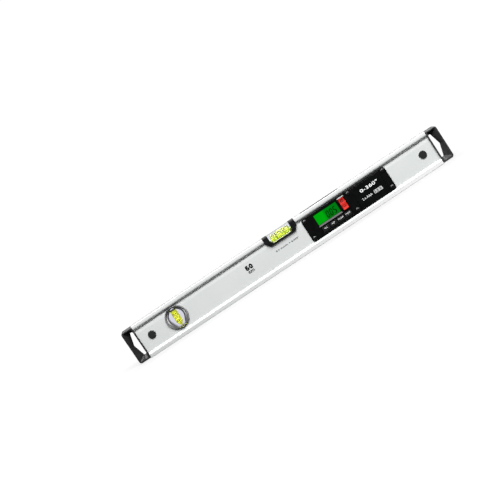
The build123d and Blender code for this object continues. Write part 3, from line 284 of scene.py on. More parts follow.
def settle(name, points, faces, material, body):
    """A closed mesh from points and faces, with its doubles merged and its normals outward."""
    mesh = bpy.data.meshes.new(name)
    mesh.from_pydata(points, [], faces)
    work = bmesh.new()
    work.from_mesh(mesh)
    bmesh.ops.remove_doubles(work, verts=work.verts, dist=merge_distance)
    bmesh.ops.recalc_face_normals(work, faces=work.faces)
    work.to_mesh(mesh)
    work.free()
    mesh.materials.append(material)
    piece = bpy.data.objects.new(name, mesh)
    bpy.context.scene.collection.objects.link(piece)
    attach(piece, body)
    return piece


def tube_faces(rows, columns, joined):
    """Quads of a grid whose columns close round a section; its rows close too, or end in two caps."""
    starts = np.arange(rows if joined else rows - 1)
    row, column = np.meshgrid(starts, np.arange(columns), indexing="ij")
    after, beside = (row + 1) % rows, (column + 1) % columns
    near = [row * columns + column, row * columns + beside]
    far = [after * columns + beside, after * columns + column]
    faces = np.stack(near + far, axis=2).reshape(-1, 4).tolist()
    if not joined:
        faces += [list(range(columns))[::-1], list(range((rows - 1) * columns, rows * columns))]
    return faces


print_sides = np.array([-0.5, 0.5, 0.5, -0.5])
print_layers = np.array([0.0, 0.0, 1.0, 1.0])
print_lifts = print_layers * ink_thickness
print_corners = len(print_sides)


def stroke(path, joined):
    """A bold stroke on the web: a section of four corners, two on the web and two on the face of the
    ink, is carried along a path and stays square to it. An open stroke thins out towards its end, so
    that it can run in under its own start."""
    if joined:
        ahead = np.roll(path, -1, axis=0) - np.roll(path, 1, axis=0)
    else:
        ahead = np.gradient(path, axis=0)
    ahead = ahead / np.linalg.norm(ahead, axis=1, keepdims=True)
    across = np.stack([-ahead[:, 1], ahead[:, 0]], axis=1)
    edges = path[:, None, :] + figure_stroke * print_sides[:, None] * across[:, None, :]
    ink = np.linspace(1.0, 1.0 if joined else thin_end, len(path))[:, None]
    depth = -web_face - print_lifts * ink
    points = np.stack([length_x + edges[..., 0], depth, figure_z + edges[..., 1]], axis=2)
    return points.reshape(-1, 3)


def arc(first, last, count, rise, middle_z):
    """Points of an ellipse from one angle to another, as wide as a figure."""
    turn = np.radians(np.linspace(first, last, count))
    return np.stack([figure_reach * np.cos(turn), middle_z + rise * np.sin(turn)], axis=1)


def lettering(name, words, width, height, centre, bold, material, body):
    """Letters filled as a mesh, brought to a unit box and stretched to a width and height on the front.
    The letters' own X runs along the level, their Y up and their thickness out to the front; bold is
    how far their outlines are spread."""
    curve = bpy.data.curves.new(name, "FONT")
    curve.body = words
    curve.extrude = 0.5
    curve.offset = bold
    curve.space_character = 1.0 + bold_spacing * bold
    curve.resolution_u = letter_steps
    text = bpy.data.objects.new(name, curve)
    bpy.context.scene.collection.objects.link(text)
    shown = text.evaluated_get(bpy.context.evaluated_depsgraph_get())
    mesh = bpy.data.meshes.new_from_object(shown)
    points = np.empty(3 * len(mesh.vertices))
    mesh.vertices.foreach_get("co", points)
    faces = [tuple(polygon.vertices) for polygon in mesh.polygons]
    bpy.data.objects.remove(text)
    bpy.data.curves.remove(curve)
    bpy.data.meshes.remove(mesh)
    points = points.reshape(-1, 3)
    low, high = points.min(0), points.max(0)
    unit = (points - (low + high) / 2) / (high - low)
    placed = np.stack(
        [
            centre[0] + width * unit[:, 0],
            centre[1] - ink_thickness * (unit[:, 2] + 0.5),
            centre[2] + height * unit[:, 1],
        ],
        axis=1,
    )
    return settle(name, placed, faces, material, body)


black_ink = finish("black_ink", (0.004, 0.004, 0.0042), 0.6, {"Specular IOR Level": 0.15})
tone(black_ink, spots(black_ink, 0.4 * mm), dark=(0.003, 0.003, 0.0032), light=(0.006, 0.006, 0.0063))
bowl_drop = figure_rise - bowl_rise
hook = arc(*hook_turn, hook_count, bowl_rise, bowl_drop)
bowl = arc(*bowl_turn, bowl_count, bowl_rise, -bowl_drop)
six = np.concatenate([hook, bowl])
six_points = stroke(six - (figure_step / 2, 0.0), joined=False)
six_faces = tube_faces(len(six), print_corners, joined=False)
settle("length_mark_6", six_points, six_faces, black_ink, "level")
nought = arc(0, 360 - 360 / nought_count, nought_count, figure_rise, 0.0)
nought_points = stroke(nought + (figure_step / 2, 0.0), joined=True)
nought_faces = tube_faces(nought_count, print_corners, joined=True)
settle("length_mark_0", nought_points, nought_faces, black_ink, "level")
for name, words, width, height, mark_x, mark_z, bold in web_marks:
    mark_place = (mark_x, -web_face, mark_z)
    lettering(name, words, width, height, mark_place, bold, black_ink, "level")

# End caps, injection moulded in black and pushed into the profile by a hollow tongue. The tool that
# moulds them is spark eroded, so they are finely matt, and painted light makes the right one greyer.
fresh_black = (0.011, 0.011, 0.0115)
# Painted light for the right cap
painted_light_black = (0.022, 0.022, 0.0225)
spark_size = 0.35 * mm
spark_depth = 0.02 * mm


def sheen(material, pattern, least, most):
    """Roughness that wanders between two values with a pattern."""
    span = {"Value": pattern, "From Min": noise_low, "From Max": noise_high}
    inputs = {**span, "To Min": least, "To Max": most}
    feed(material, "Roughness", node(material, "ShaderNodeMapRange", inputs).outputs["Result"])


cap_black = finish("cap_black", fresh_black, 0.45, {"Specular IOR Level": 0.35})
spark_grain = spots(cap_black, spark_size, detail=4.0)
cap_run = along(cap_black, "X", cad_low.x, cad_high.x)
# Painted light: the right cap is greyer than the left
cap_painted_light = ramp(cap_black, cap_run, [(0.3, fresh_black), (0.7, painted_light_black)])
cap_clouds = wander(cap_black, spots(cap_black, 6 * mm), dark=grey(0.8), light=grey(1.25))
feed(cap_black, "Base Color", overlay(cap_black, cap_painted_light, cap_clouds))
sheen(cap_black, spark_grain, least=0.38, most=0.52)
relief(cap_black, spark_grain, height=spark_depth)
dress(cap_black, "left_end_cap", "right_end_cap")


# Round plugs of black rubber, moulded with a fine grain. They are pressed through the web into the
# tongues of the caps and lock them there.
def moulded(name, dark, light, patch, grain, height, roughness, sockets=None):
    """Moulded plastic or rubber: patches that wander between two tones, and a grain of a height."""
    material = finish(name, light, roughness, sockets)
    tone(material, spots(material, patch), dark, light)
    relief(material, spots(material, grain, detail=3.0), height)
    return material


plug_black = moulded(
    "plug_black",
    dark=(0.007, 0.0075, 0.0075),
    light=(0.012, 0.0125, 0.0125),
    patch=2 * mm,
    grain=0.3 * mm,
    height=0.01 * mm,
    roughness=0.55,
    sockets={"Specular IOR Level": 0.2},
)
dress(plug_black, "lock_plugs")

# Plumb vial: two dark moulded rings, screwed together through the web, clamp a grey puck that carries the
# upright tube. A painted highlight lies pale on the rings' outer edges at the sides. The puck is pale on
# its faces and darker towards its foot, with painted shade on the walls of its sight opening and in a
# band round it.
ring_low, ring_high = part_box("plumb_front_ring")
ring_middle = (ring_low + ring_high) / 2
ring_radius = ring_high.x - ring_middle.x
ring_rim = (3.0 * mm, 1.4 * mm)
rim_soft_height = 8.0 * mm
# Painted highlight on the rings' outer edges, at the sides only
rim_painted_highlight = (0.17, 0.172, 0.172, 1.0)
ring_dark = (0.028, 0.029, 0.03)
ring_light = (0.046, 0.047, 0.048)


def off_axis(material, x, z):
    """Distance from an axis that runs through the level from front to back."""
    inputs = {"Vector": place(material), "Location": (-x, 0.0, -z), "Scale": (1, 0, 1)}
    flat = node(material, "ShaderNodeMapping", inputs).outputs["Vector"]
    return node(material, "ShaderNodeVectorMath", {0: flat}, operation="LENGTH").outputs["Value"]


def product(material, one, other):
    """Two shares multiplied."""
    return node(material, "ShaderNodeMath", {0: one, 1: other}, operation="MULTIPLY").outputs["Value"]


def within(material, axis, low, high, soft):
    """1 between two places along one axis, falling to 0 over a soft edge inside each of them."""
    rising = along(material, axis, low, low + soft)
    falling = along(material, axis, high, high - soft)
    return product(material, rising, falling)


ring_grey = finish("ring_grey", (0.036, 0.037, 0.038), 0.25)
ring_clouds = wander(ring_grey, spots(ring_grey, 5 * mm), dark=ring_dark, light=ring_light)
ring_reach = off_axis(ring_grey, ring_middle.x, ring_middle.z)
on_rim = share(ring_grey, ring_reach, *(ring_radius - inset for inset in ring_rim))
rim_heights = (ring_low.z + ring_rim[0], ring_high.z - ring_rim[0])
rim_sides = within(ring_grey, "Z", *rim_heights, rim_soft_height)
# Painted highlight, kept off the top and the bottom of the ring
painted_rim_highlight = product(ring_grey, on_rim, rim_sides)
feed(ring_grey, "Base Color", blend(ring_grey, painted_rim_highlight, ring_clouds, rim_painted_highlight))
relief(ring_grey, spots(ring_grey, 0.4 * mm, detail=3.0), height=0.008 * mm)
dress(ring_grey, "plumb_front_ring", "plumb_rear_ring")

puck_low, puck_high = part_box("plumb_carrier")
puck_tones = (
    (0.2, grey(0.09)),
    (0.36, grey(0.20)),
    (0.5, (0.50, 0.50, 0.51)),
    (0.9, (0.55, 0.55, 0.57)),
)
# Painted shade on the puck's walls and in a band round its sight opening
painted_shade_grey = (0.055, 0.055, 0.057, 1.0)
sight_rise = 0.8 * mm
shade_reach = (14.7 * mm, 14.2 * mm)
face_skin = (0.18 * mm, 0.04 * mm)
carrier_grey = finish("carrier_grey", (0.24, 0.24, 0.25), 0.2)
puck_rise = ramp(carrier_grey, along(carrier_grey, "Z", puck_low.z, puck_high.z), puck_tones)
puck_clouds = wander(carrier_grey, spots(carrier_grey, 4 * mm), dark=grey(0.8), light=grey(1.0))
puck_place = node(carrier_grey, "ShaderNodeSeparateXYZ", {"Vector": place(carrier_grey)})
off_middle = node(carrier_grey, "ShaderNodeMath", {0: puck_place.outputs["Y"]}, operation="ABSOLUTE")
face_depths = (puck_high.y - skin for skin in face_skin)
on_face = share(carrier_grey, off_middle.outputs["Value"], *face_depths)
puck_middle = (puck_low + puck_high) / 2
sight_reach = off_axis(carrier_grey, puck_middle.x, puck_middle.z + sight_rise)
puck_face = overlay(carrier_grey, puck_rise, puck_clouds)
# Painted shade in a band round the sight opening, and on everything off the puck's faces
shaded_face = blend(carrier_grey, share(carrier_grey, sight_reach, *shade_reach), puck_face, painted_shade_grey)
feed(carrier_grey, "Base Color", blend(carrier_grey, on_face, painted_shade_grey, shaded_face))
relief(carrier_grey, spots(carrier_grey, 0.4 * mm), height=0.006 * mm)
dress(carrier_grey, "plumb_carrier")

# Clear pane that closes the back of the sight opening and keeps dust off the vial. It is moulded in
# faintly tinted acrylic, with a bevelled edge that seats on the bevel of the opening.
pane_tint = (0.66, 0.66, 0.77)
pane_front, pane_back = 6.15 * mm, 6.75 * mm
pane_gap = 0.05 * mm
pane_bevel = 0.6 * mm
outline_count = 96

# Circles that the sight opening is drawn round: the wide one, its top and its two lower corners
sight_middles = np.array([(0.0, sight_rise / mm), (0.0, 12.3), (-4.8, -14.4), (4.8, -14.4)]) * mm
sight_radii = np.array([12.4, 4.0, 1.6, 1.6]) * mm


def sight_outline(grow):
    """Outline of the sight opening. In each direction the circle that reaches furthest gives the point,
    so arcs and the straight runs between them make a hull, which is then grown evenly."""
    turn = np.linspace(0, 2 * np.pi, outline_count, endpoint=False)
    outward = np.stack([np.cos(turn), np.sin(turn)], axis=1)
    widest = (outward @ sight_middles.T + sight_radii).argmax(axis=1)
    return sight_middles[widest] + (sight_radii[widest, None] + grow) * outward


pane_rings = np.stack([sight_outline(-pane_gap), sight_outline(pane_bevel - pane_gap)])
pane_depths = np.array([pane_front, pane_back])[:, None] + np.zeros(outline_count)
pane_points = np.stack(
    [puck_middle.x + pane_rings[..., 0], pane_depths, puck_middle.z + pane_rings[..., 1]], axis=2
)
pane_clear = finish("pane_clear", pane_tint, 0.03, {"Transmission Weight": 1.0, "IOR": 1.02})
sheen(pane_clear, spots(pane_clear, 3 * mm), least=0.02, most=0.05)
pane_faces = tube_faces(len(pane_rings), outline_count, joined=False)
settle("plumb_pane", pane_points.reshape(-1, 3), pane_faces, pane_clear, "level")


# Clear acrylic of the upright tube and of the horizontal vial's block, turned or milled and polished.
# Painted light tints it yellow near the liquid, a painted glow lights the block's foot, and a painted
# reflection greys the block's top.
def acrylic(node_name, tints_and_painted_light, painted_glows):
    """Clear acrylic whose tint, which holds painted light and painted reflection, and whose painted glow
    run from stop to stop from the foot of the piece to its top."""
    low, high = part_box(node_name)
    clear = finish(
        f"{node_name}_clear",
        tints_and_painted_light[0][1],
        0.03,
        {
            "Transmission Weight": 1.0,
            "IOR": 1.03,
            "Coat Weight": 0.25,
            "Coat Roughness": 0.1,
            "Emission Strength": 1.0,
        },
    )
    rise = along(clear, "Z", low.z, high.z)
    # Tint with painted light and painted reflection in it, and a painted glow, both by height
    feed(clear, "Base Color", ramp(clear, rise, tints_and_painted_light))
    feed(clear, "Emission Color", ramp(clear, rise, painted_glows))
    sheen(clear, spots(clear, 3 * mm), least=0.02, most=0.06)
    dress(clear, node_name)


tube_tints_and_painted_light = ((0.86, (0.985, 0.99, 0.62)), (0.90, (0.92, 0.92, 0.93)))
tube_painted_glows = ((0.0, grey(0.01)), (1.0, grey(0.01)))
acrylic("plumb_vial_tube", tube_tints_and_painted_light, tube_painted_glows)
block_tints_and_painted_light = (
    (0.40, (0.85, 0.95, 0.80)),
    (0.63, (0.78, 0.80, 0.80)),
    (0.76, (0.60, 0.62, 0.68)),
    (0.92, (0.72, 0.74, 0.68)),
)
block_painted_glows = (
    (0.0, (0.11, 0.12, 0.05)),
    (0.14, (0.08, 0.09, 0.02)),
    (0.26, grey(0.0)),
    (0.40, grey(0.0)),
    (0.63, (0.03, 0.03, 0.08)),
    (0.76, (0.04, 0.04, 0.09)),
    (1.0, grey(0.03)),
)
acrylic("level_vial_block", block_tints_and_painted_light, block_painted_glows)

# Liquid of both vials, dyed yellow-green, with an air bubble each. The seal of the upright tube is
# black rubber, that of the horizontal vial a cast plug as clear as its block.
liquid_dark = (0.80, 0.83, 0.11)
liquid_light = (0.88, 0.90, 0.14)
liquid = finish("vial_liquid", liquid_light, 0.1, {"Transmission Weight": 0.8, "IOR": 1.02})
tone(liquid, spots(liquid, 6 * mm), dark=liquid_dark, light=liquid_light)
dress(liquid, "plumb_vial_fluid", "level_vial_fluid")

# The air bubbles carry a painted glow
air = finish("vial_air", (0.9, 0.95, 0.75), 0.3, {"Emission Strength": 0.3})
air_painted_glow = wander(air, spots(air, 2 * mm), dark=(0.92, 0.96, 0.7), light=(1.0, 1.0, 0.8))
feed(air, "Emission Color", air_painted_glow)
dress(air, "plumb_vial_bubble", "level_vial_bubble")

seal_dark = moulded(
    "seal_dark", grey(0.009), grey(0.015), patch=1 * mm, grain=0.5 * mm, height=0.01 * mm, roughness=0.6
)
dress(seal_dark, "plumb_vial_plug")
cast_plug = finish("cast_plug", (0.80, 0.88, 0.55), 0.1, {"Transmission Weight": 0.9, "IOR": 1.03})
tone(cast_plug, spots(cast_plug, 1 * mm), dark=(0.76, 0.85, 0.5), light=(0.84, 0.91, 0.6))
dress(cast_plug, "level_vial_plug")

# Line rings, two in each vial: bands of black film laid into the bore before the liquid is filled in.
# The bubble is read between them.
band_width = 1.1 * mm
band_depth = 0.3 * mm
fitted_width = 0.7 * mm
band_sides = print_sides * band_width
band_depths = print_layers * band_depth
band_count = 64
line_dark = finish("line_dark", (0.03, 0.035, 0.02), 0.5)
tone(line_dark, spots(line_dark, 0.5 * mm), dark=(0.02, 0.025, 0.015), light=(0.045, 0.05, 0.03))


def line_rings(radius, places):
    """Two bands: a section of four corners is carried round a circle and set at two places on its axis.
    Gives the way along the axis and the two ways across it."""
    turn = np.linspace(0, 2 * np.pi, band_count, endpoint=False)[:, None]
    reach = radius - band_depths
    run = np.asarray(places)[:, None, None] + band_sides + 0 * turn
    one, other = (np.broadcast_to(reach * wave(turn), run.shape) for wave in (np.cos, np.sin))
    return run, one, other


def fit_rings(name, points, replaced):
    """Both bands of a vial as one piece, in place of the vial's own line rings."""
    one = np.array(tube_faces(band_count, print_corners, joined=True))
    faces = np.concatenate([one, one + print_corners * band_count]).tolist()
    piece = settle(name, points.reshape(-1, 3), faces, line_dark, "level")
    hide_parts(replaced)


upright_low, upright_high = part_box("plumb_vial_lines")
upright_mid = (upright_low + upright_high) / 2
upright_places = (upright_low.z + fitted_width / 2, upright_high.z - fitted_width / 2)
run, one, other = line_rings(upright_high.y - upright_mid.y, upright_places)
upright_points = np.stack([upright_mid.x + one, upright_mid.y + other, run], axis=3)
fit_rings("plumb_line_bands", upright_points, "plumb_vial_lines")

lying_low, lying_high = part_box("level_vial_lines")
lying_mid = (lying_low + lying_high) / 2
lying_places = (lying_low.x + fitted_width / 2, lying_high.x - fitted_width / 2)
run, one, other = line_rings(lying_high.y - lying_mid.y, lying_places)
lying_points = np.stack([run, lying_mid.y + one, lying_mid.z + other], axis=3)
fit_rings("level_line_bands", lying_points, "level_vial_lines")

# Cradle of the horizontal vial, a boat-shaped black moulding let into the top edge of the profile. Its
# lips snap over the clear block.
holder_black = moulded(
    "holder_black",
    dark=(0.003, 0.003, 0.0032),
    light=(0.007, 0.007, 0.0073),
    patch=5 * mm,
    grain=0.35 * mm,
    height=0.015 * mm,
    roughness=0.45,
    sockets={"Specular IOR Level": 0.12},
)
dress(holder_black, "vial_holder")

# Electronics behind the front plate: a moulded tub, a green board with its parts, a silicone mat and
# the leads. They show only through the battery bay and the gaps round the keys.
tub_black = moulded(
    "tub_black", grey(0.025), grey(0.034), patch=4 * mm, grain=0.5 * mm, height=0.02 * mm, roughness=0.5
)
dress(tub_black, "display_tub", "battery_tray")

board_green = finish("board_green", (0.015, 0.16, 0.05), 0.35)
board_tracks = spots(board_green, 1.2 * mm, stretch=(3, 1, 1))
tone(board_green, board_tracks, dark=(0.01, 0.12, 0.04), light=(0.02, 0.2, 0.06))
dress(board_green, "main_board")

part_black = moulded(
    "part_black", grey(0.012), grey(0.018), patch=2 * mm, grain=0.3 * mm, height=0.01 * mm, roughness=0.45
)
dress(part_black, "buzzer")

part_white = finish("part_white", (0.80, 0.78, 0.72), 0.4)
tone(part_white, spots(part_white, 2 * mm), dark=(0.76, 0.74, 0.68), light=(0.84, 0.82, 0.76))
dress(part_white, "lead_connector")

tinned = finish("tinned_steel", (0.62, 0.62, 0.63), 0.3, {"Metallic": 1.0})
sheen(tinned, spots(tinned, 0.3 * mm, stretch=(20, 1, 1)), least=0.22, most=0.38)
dress(tinned, "tilt_sensor", "clinch_nuts", "rocker_pin", "battery_contacts")

mat_grey = moulded(
    "mat_grey", grey(0.31), grey(0.36), patch=3 * mm, grain=0.4 * mm, height=0.01 * mm, roughness=0.6
)
dress(mat_grey, "keypad_mat")

lead_red = finish("lead_red", (0.55, 0.03, 0.025), 0.4)
tone(lead_red, spots(lead_red, 1 * mm), dark=(0.5, 0.025, 0.02), light=(0.6, 0.035, 0.03))
dress(lead_red, "battery_leads")

ribbon_tan = finish("ribbon_tan", (0.5, 0.3, 0.08), 0.3)
ribbon_tracks = spots(ribbon_tan, 0.4 * mm, stretch=(1, 1, 60))
tone(ribbon_tan, ribbon_tracks, dark=(0.36, 0.2, 0.05), light=(0.58, 0.36, 0.1))
dress(ribbon_tan, "display_ribbon")

# Front plate of the digital module, moulded in black with a fine texture, and the battery lid that is
# moulded from the same plastic and sits flush in it. A painted highlight lies pale on the slope over the
# rocker.
rocker_low, rocker_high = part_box("rocker_key")
bezel_dark = (0.0012, 0.0014, 0.0014)
bezel_light = (0.0024, 0.0026, 0.0026)
# Painted highlight on the slope over the rocker
painted_highlight_grey = (0.28, 0.28, 0.28, 1.0)
highlight_run = (rocker_low.x - 1.0 * mm, rocker_high.x + 1.8 * mm)
highlight_rise = (rocker_high.z + 0.4 * mm, rocker_high.z + 2.0 * mm)
highlight_soft_run, highlight_soft_rise = 0.5 * mm, 0.3 * mm
bezel_black = finish("bezel_black", (0.002, 0.0022, 0.0022), 0.3, {"Specular IOR Level": 0.14})
bezel_grain = spots(bezel_black, 0.3 * mm, detail=4.0)
bezel_clouds = wander(bezel_black, spots(bezel_black, 8 * mm), dark=bezel_dark, light=bezel_light)
# Painted highlight: pale over the rocker's width, above its top
painted_highlight = product(
    bezel_black,
    within(bezel_black, "X", *highlight_run, highlight_soft_run),
    within(bezel_black, "Z", *highlight_rise, highlight_soft_rise),
)
feed(bezel_black, "Base Color", blend(bezel_black, painted_highlight, bezel_clouds, painted_highlight_grey))
sheen(bezel_black, bezel_grain, least=0.24, most=0.34)
relief(bezel_black, bezel_grain, height=0.004 * mm)
dress(bezel_black, "front_bezel", "battery_lid")

# Front display: a clear lens behind the plate over a backlit liquid-crystal panel. Its light is
# stronger at the lamp end, and the reading stands in dark segments.
lens_clear = finish("lens_clear", (0.96, 0.985, 0.97), 0.04, {"Transmission Weight": 1.0, "IOR": 1.1})
sheen(lens_clear, spots(lens_clear, 2 * mm), least=0.02, most=0.06)
dress(lens_clear, "display_lens")

panel_low, panel_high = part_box("front_lcd")
field_left, field_right = 58.9 * mm, 100.9 * mm
field_side_soft = 0.4 * mm
field_foot = (27.2 * mm, 28.6 * mm)
field_head = (45.5 * mm, 45.0 * mm)
unlit_green = (0.0, 0.012, 0.001, 1.0)
lamp_greens = (
    (0.0, (0.0, 0.33, 0.004)),
    (0.36, (0.0, 0.36, 0.004)),
    (0.46, (0.0, 0.2, 0.006)),
    (1.0, (0.0, 0.17, 0.006)),
)
lcd_green = finish("lcd_green", (0.005, 0.06, 0.008), 0.25, {"Emission Strength": 1.0})
lamp_fade = ramp(lcd_green, along(lcd_green, "X", panel_low.x, panel_high.x), lamp_greens)
lit_width = within(lcd_green, "X", field_left, field_right, field_side_soft)
lit_foot = along(lcd_green, "Z", *field_foot)
lit_head = along(lcd_green, "Z", *field_head)
lit_height = product(lcd_green, lit_foot, lit_head)
lit_field = product(lcd_green, lit_width, lit_height)
feed(lcd_green, "Emission Color", blend(lcd_green, lit_field, unlit_green, lamp_fade))
dress(lcd_green, "front_lcd", "top_lcd")

guide_green = finish("guide_green", (0.2, 0.8, 0.25), 0.3)
tone(guide_green, spots(guide_green, 1 * mm), dark=(0.16, 0.75, 0.2), light=(0.25, 0.85, 0.3))
dress(guide_green, "lcd_light_guide")

segment_dark = finish("segment_dark", (0.0, 0.006, 0.001), 0.6, {"Specular IOR Level": 0.0})
tone(segment_dark, spots(segment_dark, 0.5 * mm), dark=(0.0, 0.004, 0.0005), light=(0.0, 0.009, 0.001))
segment_thickness = 0.04 * mm
segment_slant = 0.10
segment_ends = {
    "A": ((0, 2), (1, 2)),
    "B": ((1, 2), (1, 1)),
    "C": ((1, 1), (1, 0)),
    "D": ((0, 0), (1, 0)),
    "E": ((0, 0), (0, 1)),
    "F": ((0, 1), (0, 2)),
    "G": ((0, 1), (1, 1)),
}
lit_segments = {"0": "ABCDEF", "5": "AFGCD"}
digit_width = 3.5 * mm
digit_height = 10.3 * mm
digit_pitch = 6.6 * mm
segment_width = 1.45 * mm
point_length = 1.2 * segment_width
tip_gap_share = 0.08
tip_width_share = 0.1
reading_x = 78.3 * mm
reading_z = 30.2 * mm


def bars(ends, width):
    """Flat bars with pointed ends. A four-cornered section is carried along each line from end to end
    through four stations, and its width grows from a point to full width over half a width."""
    ends = np.asarray(ends, float)
    start, step = ends[:, 0], ends[:, 1] - ends[:, 0]
    length = np.linalg.norm(step, axis=1, keepdims=True)
    direction = step / length
    across = np.stack([-direction[:, 1], direction[:, 0]], axis=1)
    gap, shoulder = tip_gap_share * width, width / 2
    first = 0 * length
    stations = np.stack([first + gap, first + shoulder, length - shoulder, length - gap], axis=1)
    widths = np.array([tip_width_share, 1.0, 1.0, tip_width_share]) * width
    depths = print_layers * segment_thickness
    flat = (
        start[:, None, None, :]
        + (stations * direction[:, None, :])[:, :, None, :]
        + widths[None, :, None, None] * print_sides[None, None, :, None] * across[:, None, None, :]
    )
    depth = np.broadcast_to(depths[None, None, :, None], (*flat.shape[:3], 1))
    return np.concatenate([flat, depth], axis=3)


def reading(figures):
    """Bars of a seven-segment number, with the point after its first figure, from its lower left."""
    lines = []
    for index, figure in enumerate(figures):
        for letter in lit_segments[figure]:
            corner = np.array([index * digit_pitch, 0.0])
            scale = np.array([digit_width, digit_height / 2])
            lines.append([corner + scale * np.array(end) for end in segment_ends[letter]])
    point_x = (digit_width + digit_pitch) / 2
    lines.append([(point_x - point_length / 2, 0.0), (point_x + point_length / 2, 0.0)])
    made = bars(lines, segment_width)
    made[..., 0] += segment_slant * made[..., 1]
    return made


figures = reading("005")
figure_points = np.stack(
    [reading_x + figures[..., 0], panel_low.y - figures[..., 2], reading_z + figures[..., 1]], axis=3
)
bar_total, bar_stations = figures.shape[:2]
one_bar = np.array(tube_faces(bar_stations, print_corners, joined=False))
bar_starts = bar_stations * print_corners * np.arange(bar_total)
segment_faces = (bar_starts[:, None, None] + one_bar).reshape(-1, 4).tolist()
settle("front_reading", figure_points.reshape(-1, 3), segment_faces, segment_dark, "level")

# Rocker key: one red cap with two dished ends on a steel pin. It is moulded in red, and its two
# signs, a ring above and a bar below, are printed in the dishes in a darker red.
rocker_reds = (
    (0.0, (0.46, 0.022, 0.013)),
    (0.6, (0.38, 0.014, 0.009)),
    (1.0, (0.33, 0.011, 0.008)),
)
rocker_red = finish("rocker_red", (0.37, 0.014, 0.009), 0.45, {"Specular IOR Level": 0.25})
rocker_rise = ramp(rocker_red, along(rocker_red, "Z", rocker_low.z, rocker_high.z), rocker_reds)
rocker_clouds = wander(rocker_red, spots(rocker_red, 3 * mm), dark=grey(0.92), light=grey(1.08))
feed(rocker_red, "Base Color", overlay(rocker_red, rocker_rise, rocker_clouds))
relief(rocker_red, spots(rocker_red, 0.3 * mm), height=0.006 * mm)
dress(rocker_red, "rocker_key")

sign_red = finish("sign_red", (0.10, 0.002, 0.003), 0.5, {"Specular IOR Level": 0.2})
tone(sign_red, spots(sign_red, 0.4 * mm), dark=(0.08, 0.0015, 0.002), light=(0.13, 0.003, 0.004))
rocker_x = (rocker_low.x + rocker_high.x) / 2
dish_radius = 14.0 * mm
dish_depth = 0.5 * mm
dish_axis_y = rocker_low.y - dish_radius + dish_depth
quarter = (rocker_high.z - rocker_low.z) / 4
upper_dish_z = rocker_high.z - quarter
lower_dish_z = rocker_low.z + quarter
sign_width = 1.2 * mm
sign_radius = 2.0 * mm
bar_half = 2.6 * mm
ring_count = 48
bar_count = 9
section_across = print_sides * sign_width


def in_dish(x, offset, lift, dish_z):
    """Points that follow the round floor of a dish: the depth at an offset up or down is that of a
    circle about the dish's axis, and the lift stands off it towards the front."""
    y = dish_axis_y + np.sqrt(dish_radius**2 - offset**2) - lift
    return np.stack([x, y, dish_z + offset], axis=-1).reshape(-1, 3)


turn = np.linspace(0, 2 * np.pi, ring_count, endpoint=False)[:, None]
ring_points = in_dish(
    rocker_x + (sign_radius + section_across) * np.cos(turn),
    (sign_radius + section_across) * np.sin(turn),
    print_lifts + 0 * turn,
    upper_dish_z,
)
ring_faces = tube_faces(ring_count, print_corners, joined=True)
settle("rocker_ring_sign", ring_points, ring_faces, sign_red, "rocker")
run = np.linspace(-bar_half, bar_half, bar_count)[:, None]
bar_points = in_dish(
    rocker_x + run + 0 * section_across,
    section_across + 0 * run,
    print_lifts + 0 * run,
    lower_dish_z,
)
bar_faces = tube_faces(bar_count, print_corners, joined=False)
settle("rocker_bar_sign", bar_points, bar_faces, sign_red, "rocker")

# Four function keys of dark grey silicone, held behind the plate by flanges. Each has a plain word
# printed on it in white.
key_words = (("CAL", 5.6 * mm), ("REF", 6.0 * mm), ("SOUND", 10.0 * mm), ("HOLD", 8.3 * mm))
word_lift = 1.1 * mm
word_height = 2.3 * mm
word_bold = 0.0
key_grey = moulded(
    "key_grey",
    dark=(0.005, 0.0052, 0.0055),
    light=(0.009, 0.0092, 0.0095),
    patch=2 * mm,
    grain=0.3 * mm,
    height=0.008 * mm,
    roughness=0.5,
    sockets={"Specular IOR Level": 0.15},
)
white_ink = finish("white_ink", (0.62, 0.63, 0.63), 0.6, {"Specular IOR Level": 0.2})
tone(white_ink, spots(white_ink, 0.4 * mm), dark=(0.57, 0.58, 0.58), light=(0.67, 0.68, 0.68))
for number, (word, word_width) in enumerate(key_words, start=1):
    key = f"function_key_{number}"
    dress(key_grey, key)
    key_low, key_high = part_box(key)
    key_mid = (key_low + key_high) / 2
    word_place = (key_mid.x, key_low.y, key_mid.z + word_lift)
    lettering(
        f"key_word_{number}",
        word,
        word_width,
        word_height,
        word_place,
        word_bold,
        white_ink,
        f"key_{number}",
    )

# Button-head screws with a hexagon socket, six of them in blackened steel, that hold the front plate to
# the web. A painted highlight lies grey on the upper rim of each.
painted_highlight_steel = (0.09, 0.09, 0.093, 1.0)
blacked_steel = (0.006, 0.006, 0.0065, 1.0)
rim_height = 2.9 * mm
rim_soft = 0.5 * mm
lower_rim = 4.3 * mm
upper_rim = 2.3 * mm
screw_black = finish("screw_black", (0.01, 0.01, 0.0105), 0.25, {"Metallic": 0.5})
sheen(screw_black, spots(screw_black, 0.4 * mm), least=0.2, most=0.36)
screws_low, screws_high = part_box("bezel_screws")
# Painted highlight on the upper rim of each head, in both rows
highlight_rims = [
    within(screw_black, "Z", start, start + rim_height, rim_soft)
    for start in (screws_low.z + lower_rim, screws_high.z - upper_rim)
]
both_highlight_rims = node(screw_black, "ShaderNodeMath", {0: highlight_rims[0], 1: highlight_rims[1]}, operation="ADD")
screw_tone = blend(screw_black, both_highlight_rims.outputs["Value"], blacked_steel, painted_highlight_steel)
feed(screw_black, "Base Color", screw_tone)
dress(screw_black, "bezel_screws")

# Battery bay: two cells in plain printed sleeves, head to tail, and what is printed on the lid over
# them: the range of angles, the cells that it takes and a pale plate with their voltage.
sleeve = finish("cell_sleeve", (0.03, 0.032, 0.036), 0.25)
tone(sleeve, spots(sleeve, 4 * mm), dark=(0.025, 0.027, 0.03), light=(0.04, 0.042, 0.046))
dress(sleeve, "battery_cells")

